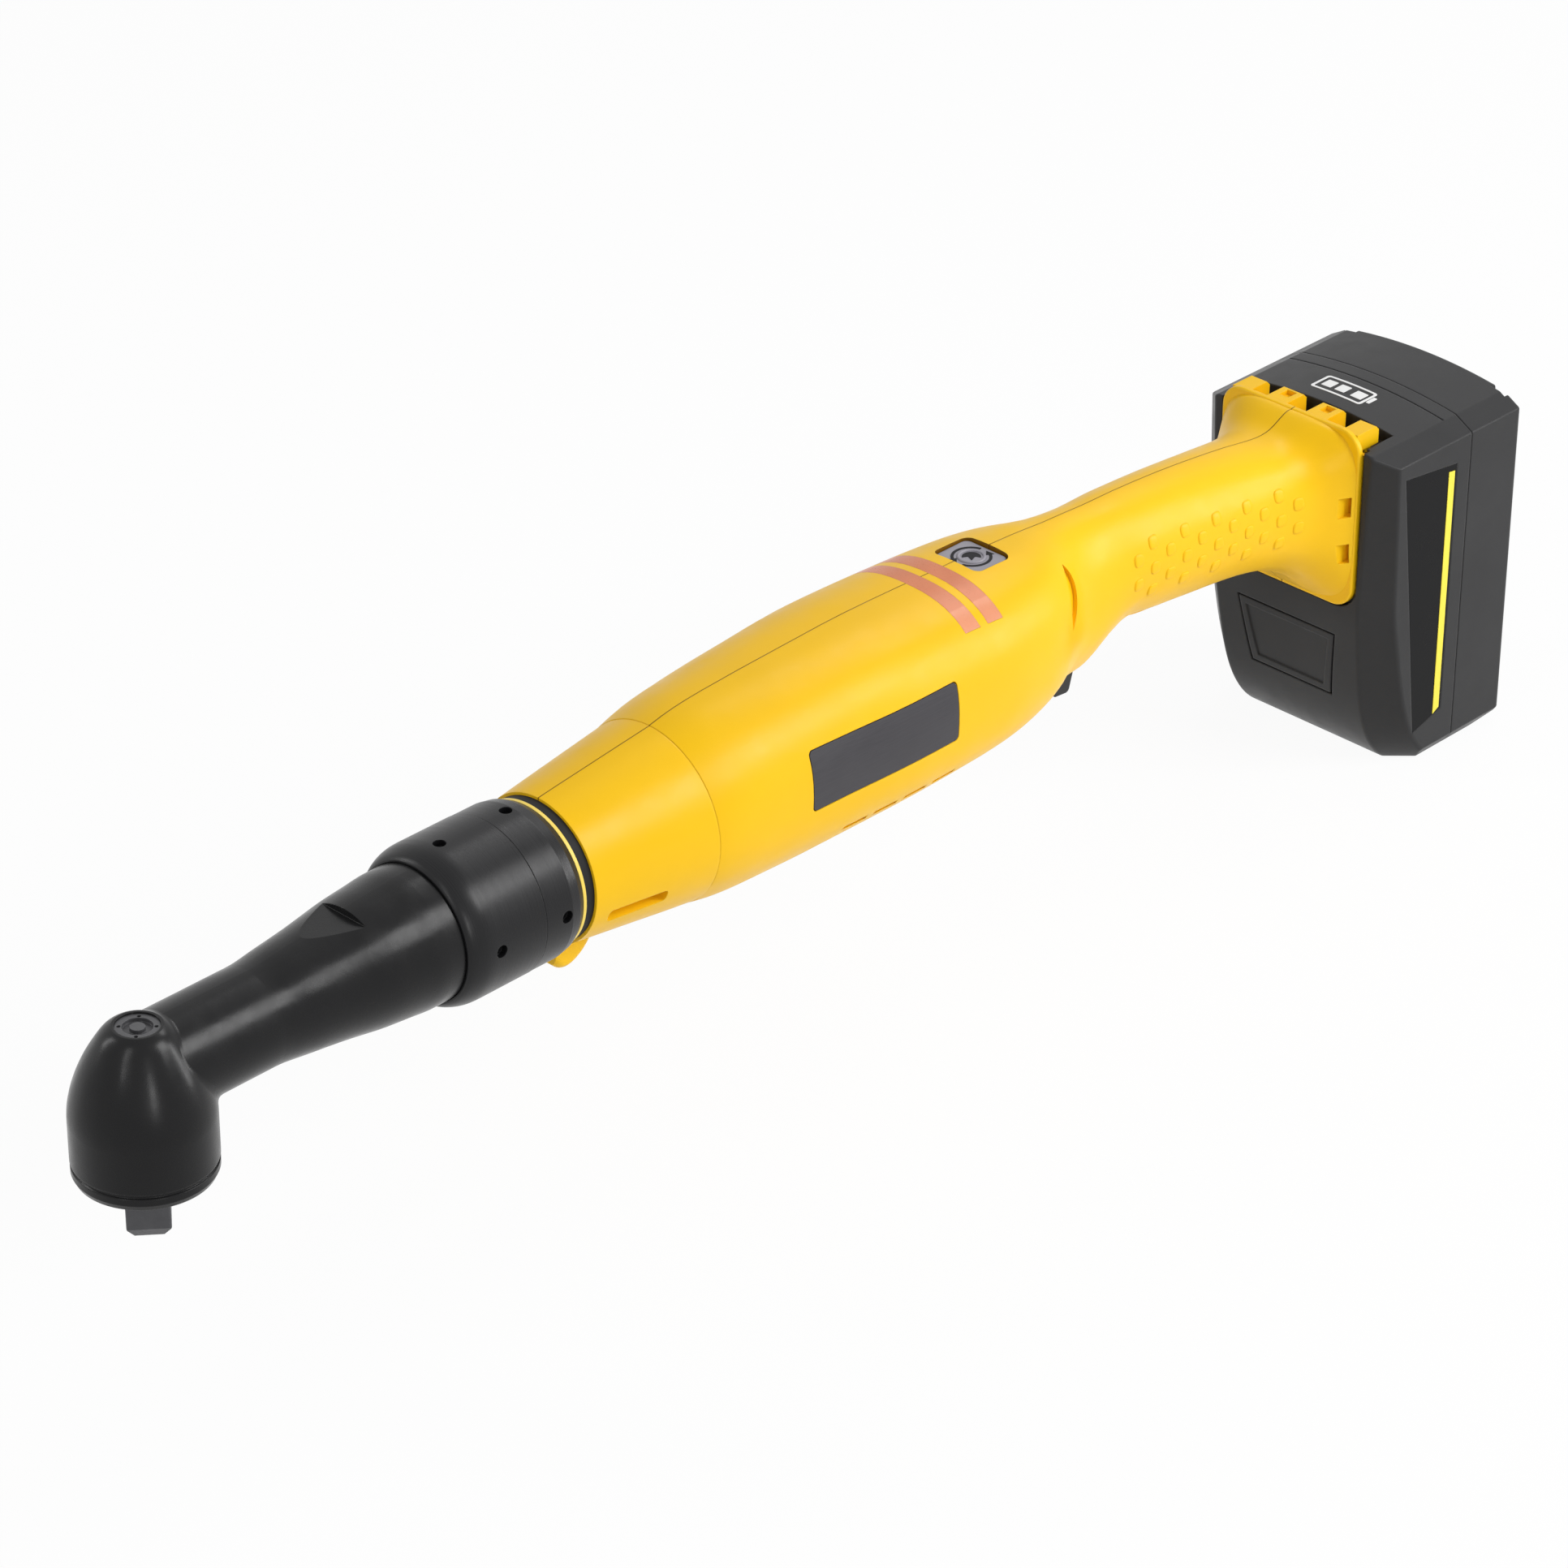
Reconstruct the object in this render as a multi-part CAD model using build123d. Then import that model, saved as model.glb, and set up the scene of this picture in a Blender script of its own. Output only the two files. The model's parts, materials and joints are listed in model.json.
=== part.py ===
from build123d import *
import math
import os

# Cordless angle nutrunner with its battery pack.
# X runs along the tool axis from the output head to the battery, Z up along the output axis.
# Everything is drawn with the tool axis at Z = 0 and lifted at the end, so that the origin
# of the files is the middle of the square drive's end face.

# Driving sizes, mm
drive_square = 12.7
drive_tip = 51.0
drive_length = 18.4
drive_turn = 50.0
detent_height = -42.5
detent_radius = 1.5
head_radius = 21.0
neck_radius = 15.5
nut_radius = 25.3
wall = 2.6
fit = 0.03
play = 0.35
over = 1.0

# Angle head
head_top = 16.0
head_profile = [(0.352, head_top), (0.45, 14.7), (0.581, 11.3), (0.733, 6.0), (0.852, 0.7), (0.938, -4.6),
                (0.99, -9.9), (1.0, -13.0)]
head_seam = -26.4
head_bottom = drive_length - drive_tip
chamber_top = -5.0
cap_rim = head_radius - 0.1
cap_groove = 0.6
cap_groove_rows = (1.6, 1.2, 0.7, 0.3)
cap_edge = [(-2.5, 0.0), (-0.8, 0.9), (0.0, 2.6)]
cap_spigot = 0.4
cap_floor = 2.0
cap_mouth = 14.0
spigot_gap = 0.1
seal_radius = 10.2
seal_inset = 0.4
plug_radius = 6.5
plug_bottom = 12.6
plug_top = head_top - 0.5
plug_groove = (4.4, 2.2)
plug_groove_depth = 1.2
plug_pin_circle = 5.2
plug_pin_radius = 0.6
neck_rear_radius = 21.6
neck_curve = [(40.0, neck_radius), (50.0, 16.4), (60.0, 17.5), (70.0, 18.8), (80.0, 20.2), (90.0, 21.1),
              (97.0, neck_rear_radius)]
neck_fillet = 3.0
neck_lip = 106.2
neck_end = 111.0
neck_flange_radius = 23.2
neck_bore_from = 5.0
flat_height = 17.5
flat_from = 52.0
flat_to = 76.3
stub_radius = 4.5
stub_from = -5.6
stub_to = 12.0
needle_from = 5.0
drive_chamfer = 2.2
drive_lead = 3.4
drive_fillet = 0.8
detent_out = 0.75
detent_length = 3.0
detent_floor = -0.5
detent_spring_slack = 0.2
detent_spring_wire = 0.5

# Coupling between head and body
nut_front = 102.7
nut_rear = 131.0
ring_front = 131.2
ring_rear = 147.4
seal_front = 148.6
body_front = 152.2
thread_radius = 22.0
nut_gap = 0.2
nut_lip_gap = 0.1
nut_brow = [(0.0, -3.0), (2.3, -1.2), (9.3, 0.0)]
ring_radius = nut_radius - 0.1
ring_taper = [(10.3, 0.0), (13.8, -0.6)]
ring_rear_radius = 23.3
spacer_radius = 23.4
seal_outer = 23.0
spanner_count = 4
spanner_hole = 2.0
spanner_depth = 2.2
spanner_rows = (113.2, 139.2)

# Bevel gears, apex where the two axes cross
pinion_teeth = 14
crown_teeth = 21
cone_length = 17.0
crown_radius = 15.5
crown_bore = 7.5
crown_heel = -14.0
crown_back = -15.6
pinion_toe = 9.6
pinion_hub_radius = 7.4
pinion_hub_end = 18.0
crown_toe = 6.6

# Planetary gears
gear_module = 0.8
sun_teeth = 12
planet_teeth = 15
ring_teeth = 42
planet_count = 3
planet_front = 163.0
planet_width = 10.0
planet_pin_radius = 2.0
plate_gap = 0.8
plate_thick = 3.2
carrier_from = 128.0
carrier_hub = 11.5
carrier_radius = 15.4
carrier_bore = 7.0
strut_circle = 11.6
strut_radius = 2.2
sun_bore = 2.5
ring_gear_ahead = 4.5
ring_gear_behind = 5.5
ring_gear_from = planet_front - ring_gear_ahead
ring_gear_to = planet_front + planet_width + ring_gear_behind
ring_outer = 19.3
case_radius = 21.3
case_step = 184.0
case_rear = 198.6
case_front_bore = 13.0
case_carrier_gap = 1.2
tooth_share = 0.88
addendum = 0.8
dedendum = 1.1
pressure_angle = math.radians(20)

# Shafts and bearings: outer radius, inner radius, width
shaft_radius = 6.0
shaft_end = 150.0
spindle_bearing = (17.3, 8.5, 9.6)
shaft_bearing = (12.0, shaft_radius, 6.0)
carrier_bearing = (16.0, 10.0, 7.0)
motor_bearing = (11.0, 4.0, 7.0)
shaft_bearing_places = (24.0, 86.0)
carrier_bearing_place = 135.5
motor_bearing_places = (189.0, 277.8)
balls_each = 8
ball_share = 0.26
race_share = 0.15

# Motor
motor_radius = 25.0
motor_front = case_rear
motor_rear = 284.0
can_wall = 2.0
can_front_wall = 2.4
can_front_hole = 12.0
can_rear_hole = 5.0
rear_pocket = (274.0, 282.0)
rotor_step = 180.0
rotor_inset = 1.0
stator_from = 212.0
stator_to = 262.0
stator_bore = 13.5
rotor_gap = 0.6
rotor_radius = stator_bore - rotor_gap
magnet_depth = 1.9
stator_teeth = 6
stator_slot = (15.4, 21.0)
stator_slot_half_angle = 21.0
stator_mouth_half_angle = 4.0
coil_overhang = 4.0
coil_gap = 0.5
coil_half_angle = 19.0
magnet_count = 4
magnet_half_angle = 40.0

# Housing sections: X, middle height, half height, half width, squareness (2 is an ellipse)
stations = [
    (197.6, 0.1, 29.4, 29.4, 2.0),
    (203.5, 0.4, 30.5, 30.5, 2.05),
    (220.0, 1.2, 31.3, 31.4, 2.2),
    (246.0, 2.1, 31.6, 32.0, 2.4),
    (280.0, 3.1, 31.6, 33.2, 2.5),
    (320.0, 3.1, 30.7, 32.3, 2.5),
    (345.0, 3.9, 29.4, 29.0, 2.5),
    (353.0, 4.6, 28.2, 26.8, 2.45),
    (360.0, 4.6, 27.9, 23.6, 2.4),
    (366.0, 4.3, 27.6, 20.2, 2.3),
    (374.0, 3.9, 27.6, 18.0, 2.1),
    (384.0, 3.75, 27.25, 17.2, 2.0),
    (390.0, 6.1, 24.6, 17.0, 2.0),
    (396.0, 8.4, 22.2, 17.0, 2.0),
    (404.0, 8.0, 22.4, 17.1, 2.0),
    (430.0, 5.9, 22.9, 18.0, 2.0),
    (455.0, 3.4, 22.7, 18.6, 2.1),
    (470.0, 0.9, 22.9, 20.2, 2.3),
    (481.0, -1.2, 25.2, 23.4, 2.8),
    (488.0, -2.8, 28.2, 26.4, 3.4),
    (491.5, -4.0, 31.4, 28.6, 4.5),
]
section_points = 13
section_step = 10.0
cone_curve = [(body_front, 23.9), (160.0, 24.9), (170.0, 26.1), (180.0, 27.3), (190.0, 28.5), (197.0, 29.3)]
cone_slope = 6.8
slot_length = 22.0
slot_width = 4.6
slot_middle = 169.0
slot_turn = 112.0
slot_floor = 22.0
slot_rise = 10.0
slot_end = 1.6
vent_count = 4
vent_from = 252.0
vent_pitch = 13.0
vent_length = 10.0
vent_height = (-18.4, -16.8)
groove_top = (361.5, 26.3)
groove_rear = (364.2, 13.6)
groove_front = (358.5, 16.6)
groove_foot = (358.4, 7.0)
inlay_depth = 1.6
seam_gap = 0.24
big = 120.0

# Rear flange, rails and tabs that carry the battery
flange_from = 491.5
flange_to = 495.5
flange_half_width = 28.9
flange_low = -36.5
flange_high = 27.7
flange_corner = 8.0
flange_edge = 0.8
flange_lip = 2.0
rail_neck_to = 499.0
rail_to = 502.5
rail_neck = 20.0
rail_lip = 25.0
rail_low = -30.0
rail_high = 20.0
tab_centres = (8.3, 23.0)
tab_widths = (8.4, 6.6)
tab_tops = (27.2, 26.4)
tab_low = 20.0
tab_to = 504.5
tab_chamfer = 1.5
hook_pocket = (497.8, 502.2)
hook_half = 1.9
hook_depth = 1.6
notch_heights = (-18.4, -1.4)
notch_height = 7.2
notch_width = 2.2
notch_margin = 0.9
notch_depth = 1.6
notch_reach = 6.0

# Controls, lights and plates on the housing
band_width = 6.7
band_starts = (307.7, 317.8)
band_half_span = 25.0
band_low = 20.0
label_from = 234.5
label_to = 297.0
label_low = -3.0
label_high = 17.0
label_corner = 1.6
label_gap = 0.3
button_middle = 337.5
button_length = 15.4
button_width = 18.4
button_top = 32.0
button_corner = 2.6
button_thick = 3.2
button_edge = 0.7
button_stem = 3.0
button_stem_length = 1.2
window_depth = 8.0
switch_half = 4.5
switch_height = 2.0
plunger_radius = 2.2
plunger_height = 1.0
trigger_pivot = (363.0, -12.0)
trigger_half_width = 6.0
trigger_pin_radius = 1.5
trigger_pin_over = 7.5
trigger_boss_gap = 1.5
trigger_slot = (364.5, 385.0)
trigger_slot_top = -14.0
trigger_edge = 1.6
trigger_switch_x = (352.0, 384.0)
trigger_switch_low = -5.0
trigger_switch_half = 6.0
trigger_spring_place = 373.0
trigger_spring_radii = (2.4, 1.7)
trigger_spring_length = 6.4
trigger_outline = [(361.0, -8.4), (366.0, -8.4), (379.0, -13.6), (380.4, -23.0), (378.4, -30.0), (371.6, -29.4),
                   (368.6, -23.0), (360.0, -15.2)]
board_low = 6.0
board_thick = 1.6
board_wide = ((288.0, 348.0), 21.0)
board_narrow = ((348.0, 384.0), 11.0)
board_column = 13.0
driver_x = (292.0, 300.0)
driver_half = 5.0
driver_height = 4.6
capacitor_place = 328.0
capacitor_radius = 5.0
capacitor_height = 11.0
chip_x = (306.0, 318.0)
chip_half = 6.0
chip_height = 1.4
light_board_low = 22.0
light_board_x = (303.0, 348.0)
light_board_half = 17.0
lamp_places = (-14.0, -5.0, 5.0, 14.0)
lamp_half = 1.5
lamp_tall = 1.2
boss_radius = 4.0
boss_sink = 1.3
screw_radius = 1.5
screw_head = 2.9
screw_head_height = 2.6
screw_hex = 1.3
screw_hex_depth = 1.4
screw_reach = 8.5
screw_tip_room = 0.5
seat_depth = 5.0
bosses = [(300.0, 2.0), (345.0, 2.0), (318.0, 18.0), (400.0, 8.0), (430.0, 6.0), (468.0, 1.0)]
lamp_height = -28.6
lamp_radius = 3.2
lamp_rear = 158.0
lug_half_width = 6.4
lug_top = -20.0
lug_outline = [(0.0, -31.2), (4.4, -33.8), (10.0, -32.2), (15.0, -27.6), (18.8, lug_top)]
lug_edge = 2.4
lug_gap = 0.5
terminal_front = 484.0
terminal_half = 14.0
terminal_heights = (-20.0, 4.0)
blade_x = (492.0, 507.0)
blade_heights = (-16.0, 0.0)

# Battery pack
pack_front = 493.0
pack_rear = 563.2
pack_seam = 537.0
pack_half_width = 39.8
pack_crest = 23.7
pack_shoulder = (32.5, 20.9)
pack_side_top = 16.7
pack_side_low = -96.5
pack_low = -101.0
pack_foot = 36.5
foot_relief_half = 20.0
foot_relief_to = 521.0
foot_relief_depth = 0.5
pack_nose = [(pack_front, -34.0), (494.8, -50.0), (499.6, -75.0), (506.0, -91.0), (516.2, -101.9)]
pack_face_rim = 2.1
pack_face_half = flange_half_width + pack_face_rim
pack_bevel = 8.5
pack_taper = 0.04
nose_end = (1.0, -0.6)
nose_drop = 12.0
corner_reach = 20.0
corner_out = 50.0
corner_stretch = 0.5
pack_edge = 2.0
shoulder_edge = 1.0
edge_least = 20.0
edge_near = 3.5
rear_notch = (28.5, 34.6)
rear_notch_low = 15.6
rear_notch_depth = 3.0
pack_heel = [(550.0, pack_low), (pack_rear, -97.6)]
cavity_front = 511.5
cavity_rear = 559.0
cavity_top = 14.0
cavity = [(cavity_front, cavity_top), (cavity_front, -70.0), (520.0, -92.0), (526.0, -97.0), (cavity_rear, -97.0),
          (cavity_rear, cavity_top)]
cavity_half_width = 37.0
cell_radius = 9.1
cell_length = 65.0
cell_columns = (526.5, 546.5)
cell_rows = (-82.0, -62.5, -43.0, -23.5, -4.0)
holder_top = 8.0
holder_places = (-26.0, 21.0)
holder_thick = 5.0
pack_board_x = (513.0, 557.0)
pack_board_half = 29.0
blade_places = (-9.0, -3.0, 3.0, 9.0)
blade_thick = 1.2
blade_slot = 1.9
blade_slot_low = -17.0
fork_half = 1.7
fork_gap = 1.0
fork_back = 0.6
fork_front = 503.2
fork_heights = (-15.0, -1.0)
dock_gap = 0.9
tab_back_room = 4.7
tab_side_room = 2.3
tab_room_to = tab_to + tab_back_room
tab_room_half = tab_centres[-1] + tab_widths[-1] / 2 + tab_side_room
tab_room_low = 18.0
column_radius = 3.0
pack_screw_y = 33.5
pack_screw_z = (11.4, -95.0)
pack_screw_hole = 524.0
pack_screw_tip = 526.0
pack_screw_sink = 3.6
panel_outline = [(503.0, 11.5), (530.0, 8.0), (530.0, -84.0), (515.5, -88.0)]
panel_depth = 1.2
pack_seam_gap = 0.3
pack_line = 530.2
pack_line_width = 0.5
pack_line_depth = 0.4
button_high = -50.0
button_low = -75.0
button_high_half = 20.3
button_low_half = 16.7
button_back = 503.5
button_floor = 509.0
button_rim = 2.6
button_recess = 0.5
latch_gap = 0.7
release_spring_radii = (4.0, 3.2)


# Basic shapes


def rod_x(x_from, x_to, outer, inner=0.0):
    """Rod or tube along the tool axis."""
    lie = Pos(x_from, 0, 0) * Rot(0, 90, 0)
    at_end = (Align.CENTER, Align.CENTER, Align.MIN)
    solid = lie * Cylinder(outer, x_to - x_from, align=at_end)
    if inner > 0:
        solid -= lie * Cylinder(inner, x_to - x_from, align=at_end)
    return solid


def rod_z(z_from, z_to, outer, inner=0.0):
    """Rod or tube along the output axis."""
    at_end = (Align.CENTER, Align.CENTER, Align.MIN)
    solid = Pos(0, 0, z_from) * Cylinder(outer, z_to - z_from, align=at_end)
    if inner > 0:
        solid -= Pos(0, 0, z_from) * Cylinder(inner, z_to - z_from, align=at_end)
    return solid


def rod_y(x, z, y_from, y_to, radius):
    """Rod across the tool."""
    return Pos(x, y_from, z) * Rot(-90, 0, 0) * Cylinder(
        radius, y_to - y_from, align=(Align.CENTER, Align.CENTER, Align.MIN))


def block(x, y, z):
    """Box from its three pairs of limits."""
    size = [limits[1] - limits[0] for limits in (x, y, z)]
    return Pos(x[0], y[0], z[0]) * Box(*size, align=(Align.MIN, Align.MIN, Align.MIN))


def plate_xz(points, y_from, y_to):
    """Prism across the tool from an outline in X and Z."""
    face = Plane.XZ.offset(-y_to) * make_face(Polyline(*points, close=True))
    return extrude(face, y_to - y_from)


def plate_yz(face, x_from, x_to):
    """Prism along the tool from an outline in Y and Z."""
    return extrude(Plane.YZ.offset(x_from) * face, x_to - x_from)


def turned_x(edges):
    """Solid turned about the tool axis from edges in X and radius."""
    return revolve(Plane.XZ * make_face(edges), Axis.X)


def path(points):
    """Straight edges through the points, left open."""
    return [Line(a, b) for a, b in zip(points, points[1:])]


def mirrored(solid):
    """The same solid on the other side of the seam plane."""
    return mirror(solid, Plane.XZ)


# Bearings and gears


def ball_bearing(size):
    """Outer ring with its balls, then inner ring, about the X axis with the middle at X = 0."""
    outer, inner, width = size
    depth = outer - inner
    middle = (outer + inner) / 2
    ball = ball_share * depth
    half_gap = race_share * depth
    track = Rot(0, 90, 0) * Torus(middle, ball + fit)
    outer_ring = rod_x(-width / 2, width / 2, outer, middle + half_gap) - track
    inner_ring = rod_x(-width / 2, width / 2, middle - half_gap, inner) - track
    balls = []
    for number in range(balls_each):
        turn = Rot(360 / balls_each * number, 0, 0)
        balls.append(turn * Pos(0, 0, middle) * Sphere(ball))
    return [outer_ring, *balls], inner_ring


def bearings_at(size, places):
    """Outer parts and inner rings of equal bearings with their middles at these X."""
    fixed, turning = ball_bearing(size)
    outer_parts = [Pos(x, 0, 0) * part for x in places for part in fixed]
    inner_rings = [Pos(x, 0, 0) * turning for x in places]
    return outer_parts, inner_rings


def involute(angle):
    return math.tan(angle) - angle


def toothed_ring(teeth, flank):
    """Closed outline of teeth; flank lists radius and half angle from root to tip, one tooth on +x."""
    points = []
    for tooth in range(teeth):
        middle = 2 * math.pi * tooth / teeth
        for radius, half in flank:
            points.append((radius * math.cos(middle - half), radius * math.sin(middle - half)))
        for radius, half in reversed(flank):
            points.append((radius * math.cos(middle + half), radius * math.sin(middle + half)))
    return make_face(Polyline(*points, close=True))


def spur_face(teeth, out, down, share):
    """Face of a spur gear that reaches out and down from its pitch circle by these many modules."""
    pitch = gear_module * teeth / 2
    base = pitch * math.cos(pressure_angle)
    root = pitch - down * gear_module
    tip = pitch + out * gear_module
    half = math.pi / 2 / teeth * share + involute(pressure_angle)
    flank = []
    for step in range(4):
        radius = root + (tip - root) * step / 3
        flank.append((radius, half - involute(math.acos(min(1.0, base / radius)))))
    return toothed_ring(teeth, flank)


def bevel_solid(teeth, mate_teeth, near, far, half_pitch_turn):
    """Straight bevel teeth on +Z with the apex at the origin, between two distances from it."""
    cone = math.atan2(teeth, mate_teeth)
    module_share = 2 * math.sin(cone) / teeth
    low = -math.atan(dedendum * module_share)
    high = math.atan(addendum * module_share)
    base = math.tan(cone) * math.cos(pressure_angle)
    half = math.pi / 2 / teeth * math.cos(cone) * tooth_share + involute(pressure_angle)
    faces = []
    for distance in (near, far):
        flank = []
        for step in range(4):
            lean = low + (high - low) * step / 3
            radius = math.tan(cone) + math.tan(lean)
            angle = half - involute(math.acos(min(1.0, base / radius)))
            flank.append((distance * math.tan(cone + lean), angle * radius / math.sin(cone + lean)))
        faces.append(Pos(0, 0, distance) * toothed_ring(teeth, flank))
    turn = 180 / teeth if half_pitch_turn else 0
    return Rot(0, 0, turn) * loft(faces, ruled=True)


# Angle head


def angle_head_housing():
    curve = [(head_radius * share, height) for share, height in head_profile]
    head_edges = path([curve[-1], (head_radius, head_seam), (0, head_seam), (0, head_top), curve[0]])
    head_face = make_face(head_edges + [Spline(*curve)])
    head = revolve(Plane.XZ * head_face, Axis.Z)
    edges = path([neck_curve[-1], (neck_lip, neck_rear_radius), (neck_lip, neck_flange_radius),
                  (neck_end, neck_flange_radius), (neck_end, 0), (0, 0), (0, neck_radius), neck_curve[0]])
    neck = turned_x(edges + [Spline(*neck_curve, tangents=[(1, 0), (1, 0)])])
    body = head + neck
    body = fillet(new_edges(head, neck, combined=body), neck_fillet)
    body -= rod_z(head_seam, chamber_top, spindle_bearing[0])
    body -= rod_z(chamber_top, head_top, plug_radius)
    body -= rod_x(neck_bore_from, neck_end, shaft_bearing[0])
    for side in (1, -1):
        low, high = sorted((side * flat_height, side * big))
        body -= block((flat_from, flat_to), (-big, big), (low, high))
    return body


def head_cap():
    low = head_bottom
    spigot = spindle_bearing[0] - spigot_gap
    floor = head_seam - cap_floor
    edge = [(cap_rim + out, low + up) for out, up in cap_edge]
    groove_radii = (cap_rim, cap_rim - cap_groove, cap_rim - cap_groove, cap_rim)
    groove = [(radius, head_seam - down) for radius, down in zip(groove_radii, cap_groove_rows)]
    profile = [(seal_radius, low), *edge, *groove, (cap_rim, head_seam), (spigot, head_seam),
               (spigot, bearing_seat()), (cap_mouth, bearing_seat()), (cap_mouth, floor), (seal_radius, floor)]
    return revolve(Plane.XZ * make_face(Polyline(*profile, close=True)), Axis.Z)


def spindle_seal():
    return rod_z(head_bottom + seal_inset, head_seam - cap_floor, seal_radius, spindle_bearing[1] + fit)


def head_plug():
    plug = rod_z(plug_bottom, plug_top, plug_radius)
    plug -= rod_z(plug_top - plug_groove_depth, plug_top, *plug_groove)
    for number in range(4):
        turn = Rot(0, 0, 45 + 90 * number)
        plug -= turn * Pos(plug_pin_circle, 0, plug_top) * Cylinder(plug_pin_radius, 2 * plug_groove_depth)
    return plug


def needle_bearing():
    return rod_z(needle_from, stub_to, plug_radius, stub_radius + fit)


def spindle_bearing_parts():
    fixed, turning = ball_bearing(spindle_bearing)
    stand = Pos(0, 0, bearing_seat() + spindle_bearing[2] / 2) * Rot(0, -90, 0)
    return [stand * part for part in fixed], [stand * turning]


def bearing_seat():
    """Height of the cap's spigot, where the spindle bearing rests."""
    return head_seam + cap_spigot


def detent_place(distance, radius, length):
    """Rod square to the drive face that looks back along the tool, starting this far from the axis."""
    lie = Rot(0, 0, drive_turn) * Pos(distance, 0, detent_height) * Rot(0, 90, 0)
    return lie * Cylinder(radius, length, align=(Align.CENTER, Align.CENTER, Align.MIN))


def output_spindle():
    shoulder = bearing_seat() + spindle_bearing[2]
    body = rod_z(stub_from, stub_to, stub_radius)
    body += rod_z(shoulder, stub_from, crown_bore)
    body += rod_z(head_bottom - over, shoulder, spindle_bearing[1])
    drive = Box(drive_square, drive_square, drive_length, align=(Align.CENTER, Align.CENTER, Align.MAX))
    tip = drive.faces().sort_by(Axis.Z)[0]
    drive = chamfer(tip.edges(), drive_chamfer, drive_lead, reference=tip)
    drive = fillet(drive.edges().filter_by(Axis.Z), drive_fillet)
    body += Rot(0, 0, drive_turn) * Pos(0, 0, head_bottom) * drive
    body -= detent_place(detent_floor, detent_radius + fit, drive_square)
    return body


def detent_tip():
    """Distance of the pin's round end from the output axis."""
    return drive_square / 2 + detent_out - detent_radius


def detent_pin():
    tip = Rot(0, 0, drive_turn) * Pos(detent_tip(), 0, detent_height) * Sphere(detent_radius)
    return detent_place(detent_tip() - detent_length, detent_radius, detent_length) + tip


def detent_spring():
    length = detent_tip() - detent_length - play - detent_floor
    radius = detent_radius - detent_spring_slack
    spring = detent_place(detent_floor, radius, length)
    return spring - detent_place(detent_floor, radius - detent_spring_wire, length)


def crown_gear():
    teeth = Rot(180, 0, 0) * bevel_solid(crown_teeth, pinion_teeth, crown_toe, -crown_heel, True)
    teeth &= rod_z(crown_heel, 0.0, crown_radius)
    back = rod_z(crown_back, crown_heel, crown_radius)
    return teeth + back - rod_z(crown_back, 0.0, crown_bore)


# Shaft through the neck


def pinion_shaft():
    heel = cone_length * math.cos(math.atan2(pinion_teeth, crown_teeth))
    body = Rot(0, 90, 0) * bevel_solid(pinion_teeth, crown_teeth, pinion_toe, heel, False)
    body += rod_x(heel, pinion_hub_end, pinion_hub_radius)
    body += rod_x(pinion_hub_end, shaft_end, shaft_radius)
    return body


def carrier_plates():
    """Front and back of the carrier's front plate, then of its rear plate."""
    front = planet_front - plate_gap
    rear = planet_front + planet_width + plate_gap
    return front - plate_thick, front, rear, rear + plate_thick


def planet_carrier():
    first, front, rear, last = carrier_plates()
    body = rod_x(carrier_from, shaft_end, carrier_bearing[1], shaft_radius)
    body += rod_x(shaft_end, first, carrier_hub)
    body += rod_x(first, front, carrier_radius)
    body += rod_x(rear, last, carrier_radius, carrier_bore)
    for number in range(planet_count):
        turn = Rot(360 / planet_count * (number + 0.5), 0, 0)
        body += turn * Pos(0, strut_circle, 0) * rod_x(front, rear, strut_radius)
        body -= planet_turn(number) * rod_x(first, last, planet_pin_radius)
    return body


def planet_turn(number):
    """Place of one planet: the first sits on +Y."""
    distance = gear_module * (sun_teeth + planet_teeth) / 2
    return Rot(360 / planet_count * number, 0, 0) * Pos(0, distance, 0)


def planet_pins():
    first, last = carrier_plates()[0], carrier_plates()[-1]
    return [planet_turn(number) * rod_x(first, last, planet_pin_radius) for number in range(planet_count)]


def planet_gear(number):
    face = spur_face(planet_teeth, addendum, dedendum, tooth_share)
    gear = plate_yz(face, planet_front, planet_front + planet_width)
    gear -= rod_x(planet_front, planet_front + planet_width, planet_pin_radius + fit)
    return planet_turn(number) * gear


def sun_gear():
    face = spur_face(sun_teeth, addendum, dedendum, tooth_share)
    gear = plate_yz(face, planet_front, planet_front + planet_width)
    return gear - rod_x(planet_front, planet_front + planet_width, sun_bore)


def ring_gear():
    gap = spur_face(ring_teeth, dedendum, addendum, 2 - tooth_share)
    body = rod_x(ring_gear_from, ring_gear_to, ring_outer)
    return body - plate_yz(gap, ring_gear_from, ring_gear_to)


def gear_case():
    body = rod_x(neck_end, body_front, thread_radius)
    body += rod_x(body_front, case_rear, case_radius)
    seat_from = carrier_bearing_place - carrier_bearing[2] / 2
    seat_to = carrier_bearing_place + carrier_bearing[2] / 2
    body -= rod_x(neck_end, seat_from, case_front_bore)
    body -= rod_x(seat_from, seat_to, carrier_bearing[0])
    body -= rod_x(seat_to, ring_gear_from, carrier_radius + case_carrier_gap)
    body -= rod_x(ring_gear_from, case_step, ring_outer)
    body -= rod_x(case_step, case_rear, motor_bearing[0])
    return body


# Coupling between head and body


def spanner_holes(x, radius):
    holes = []
    for number in range(spanner_count):
        hole = Cylinder(spanner_hole, 2 * spanner_depth, align=(Align.CENTER, Align.CENTER, Align.MIN))
        holes.append(Rot(360 / spanner_count * number, 0, 0) * Pos(x, 0, radius - spanner_depth) * hole)
    return holes


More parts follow.
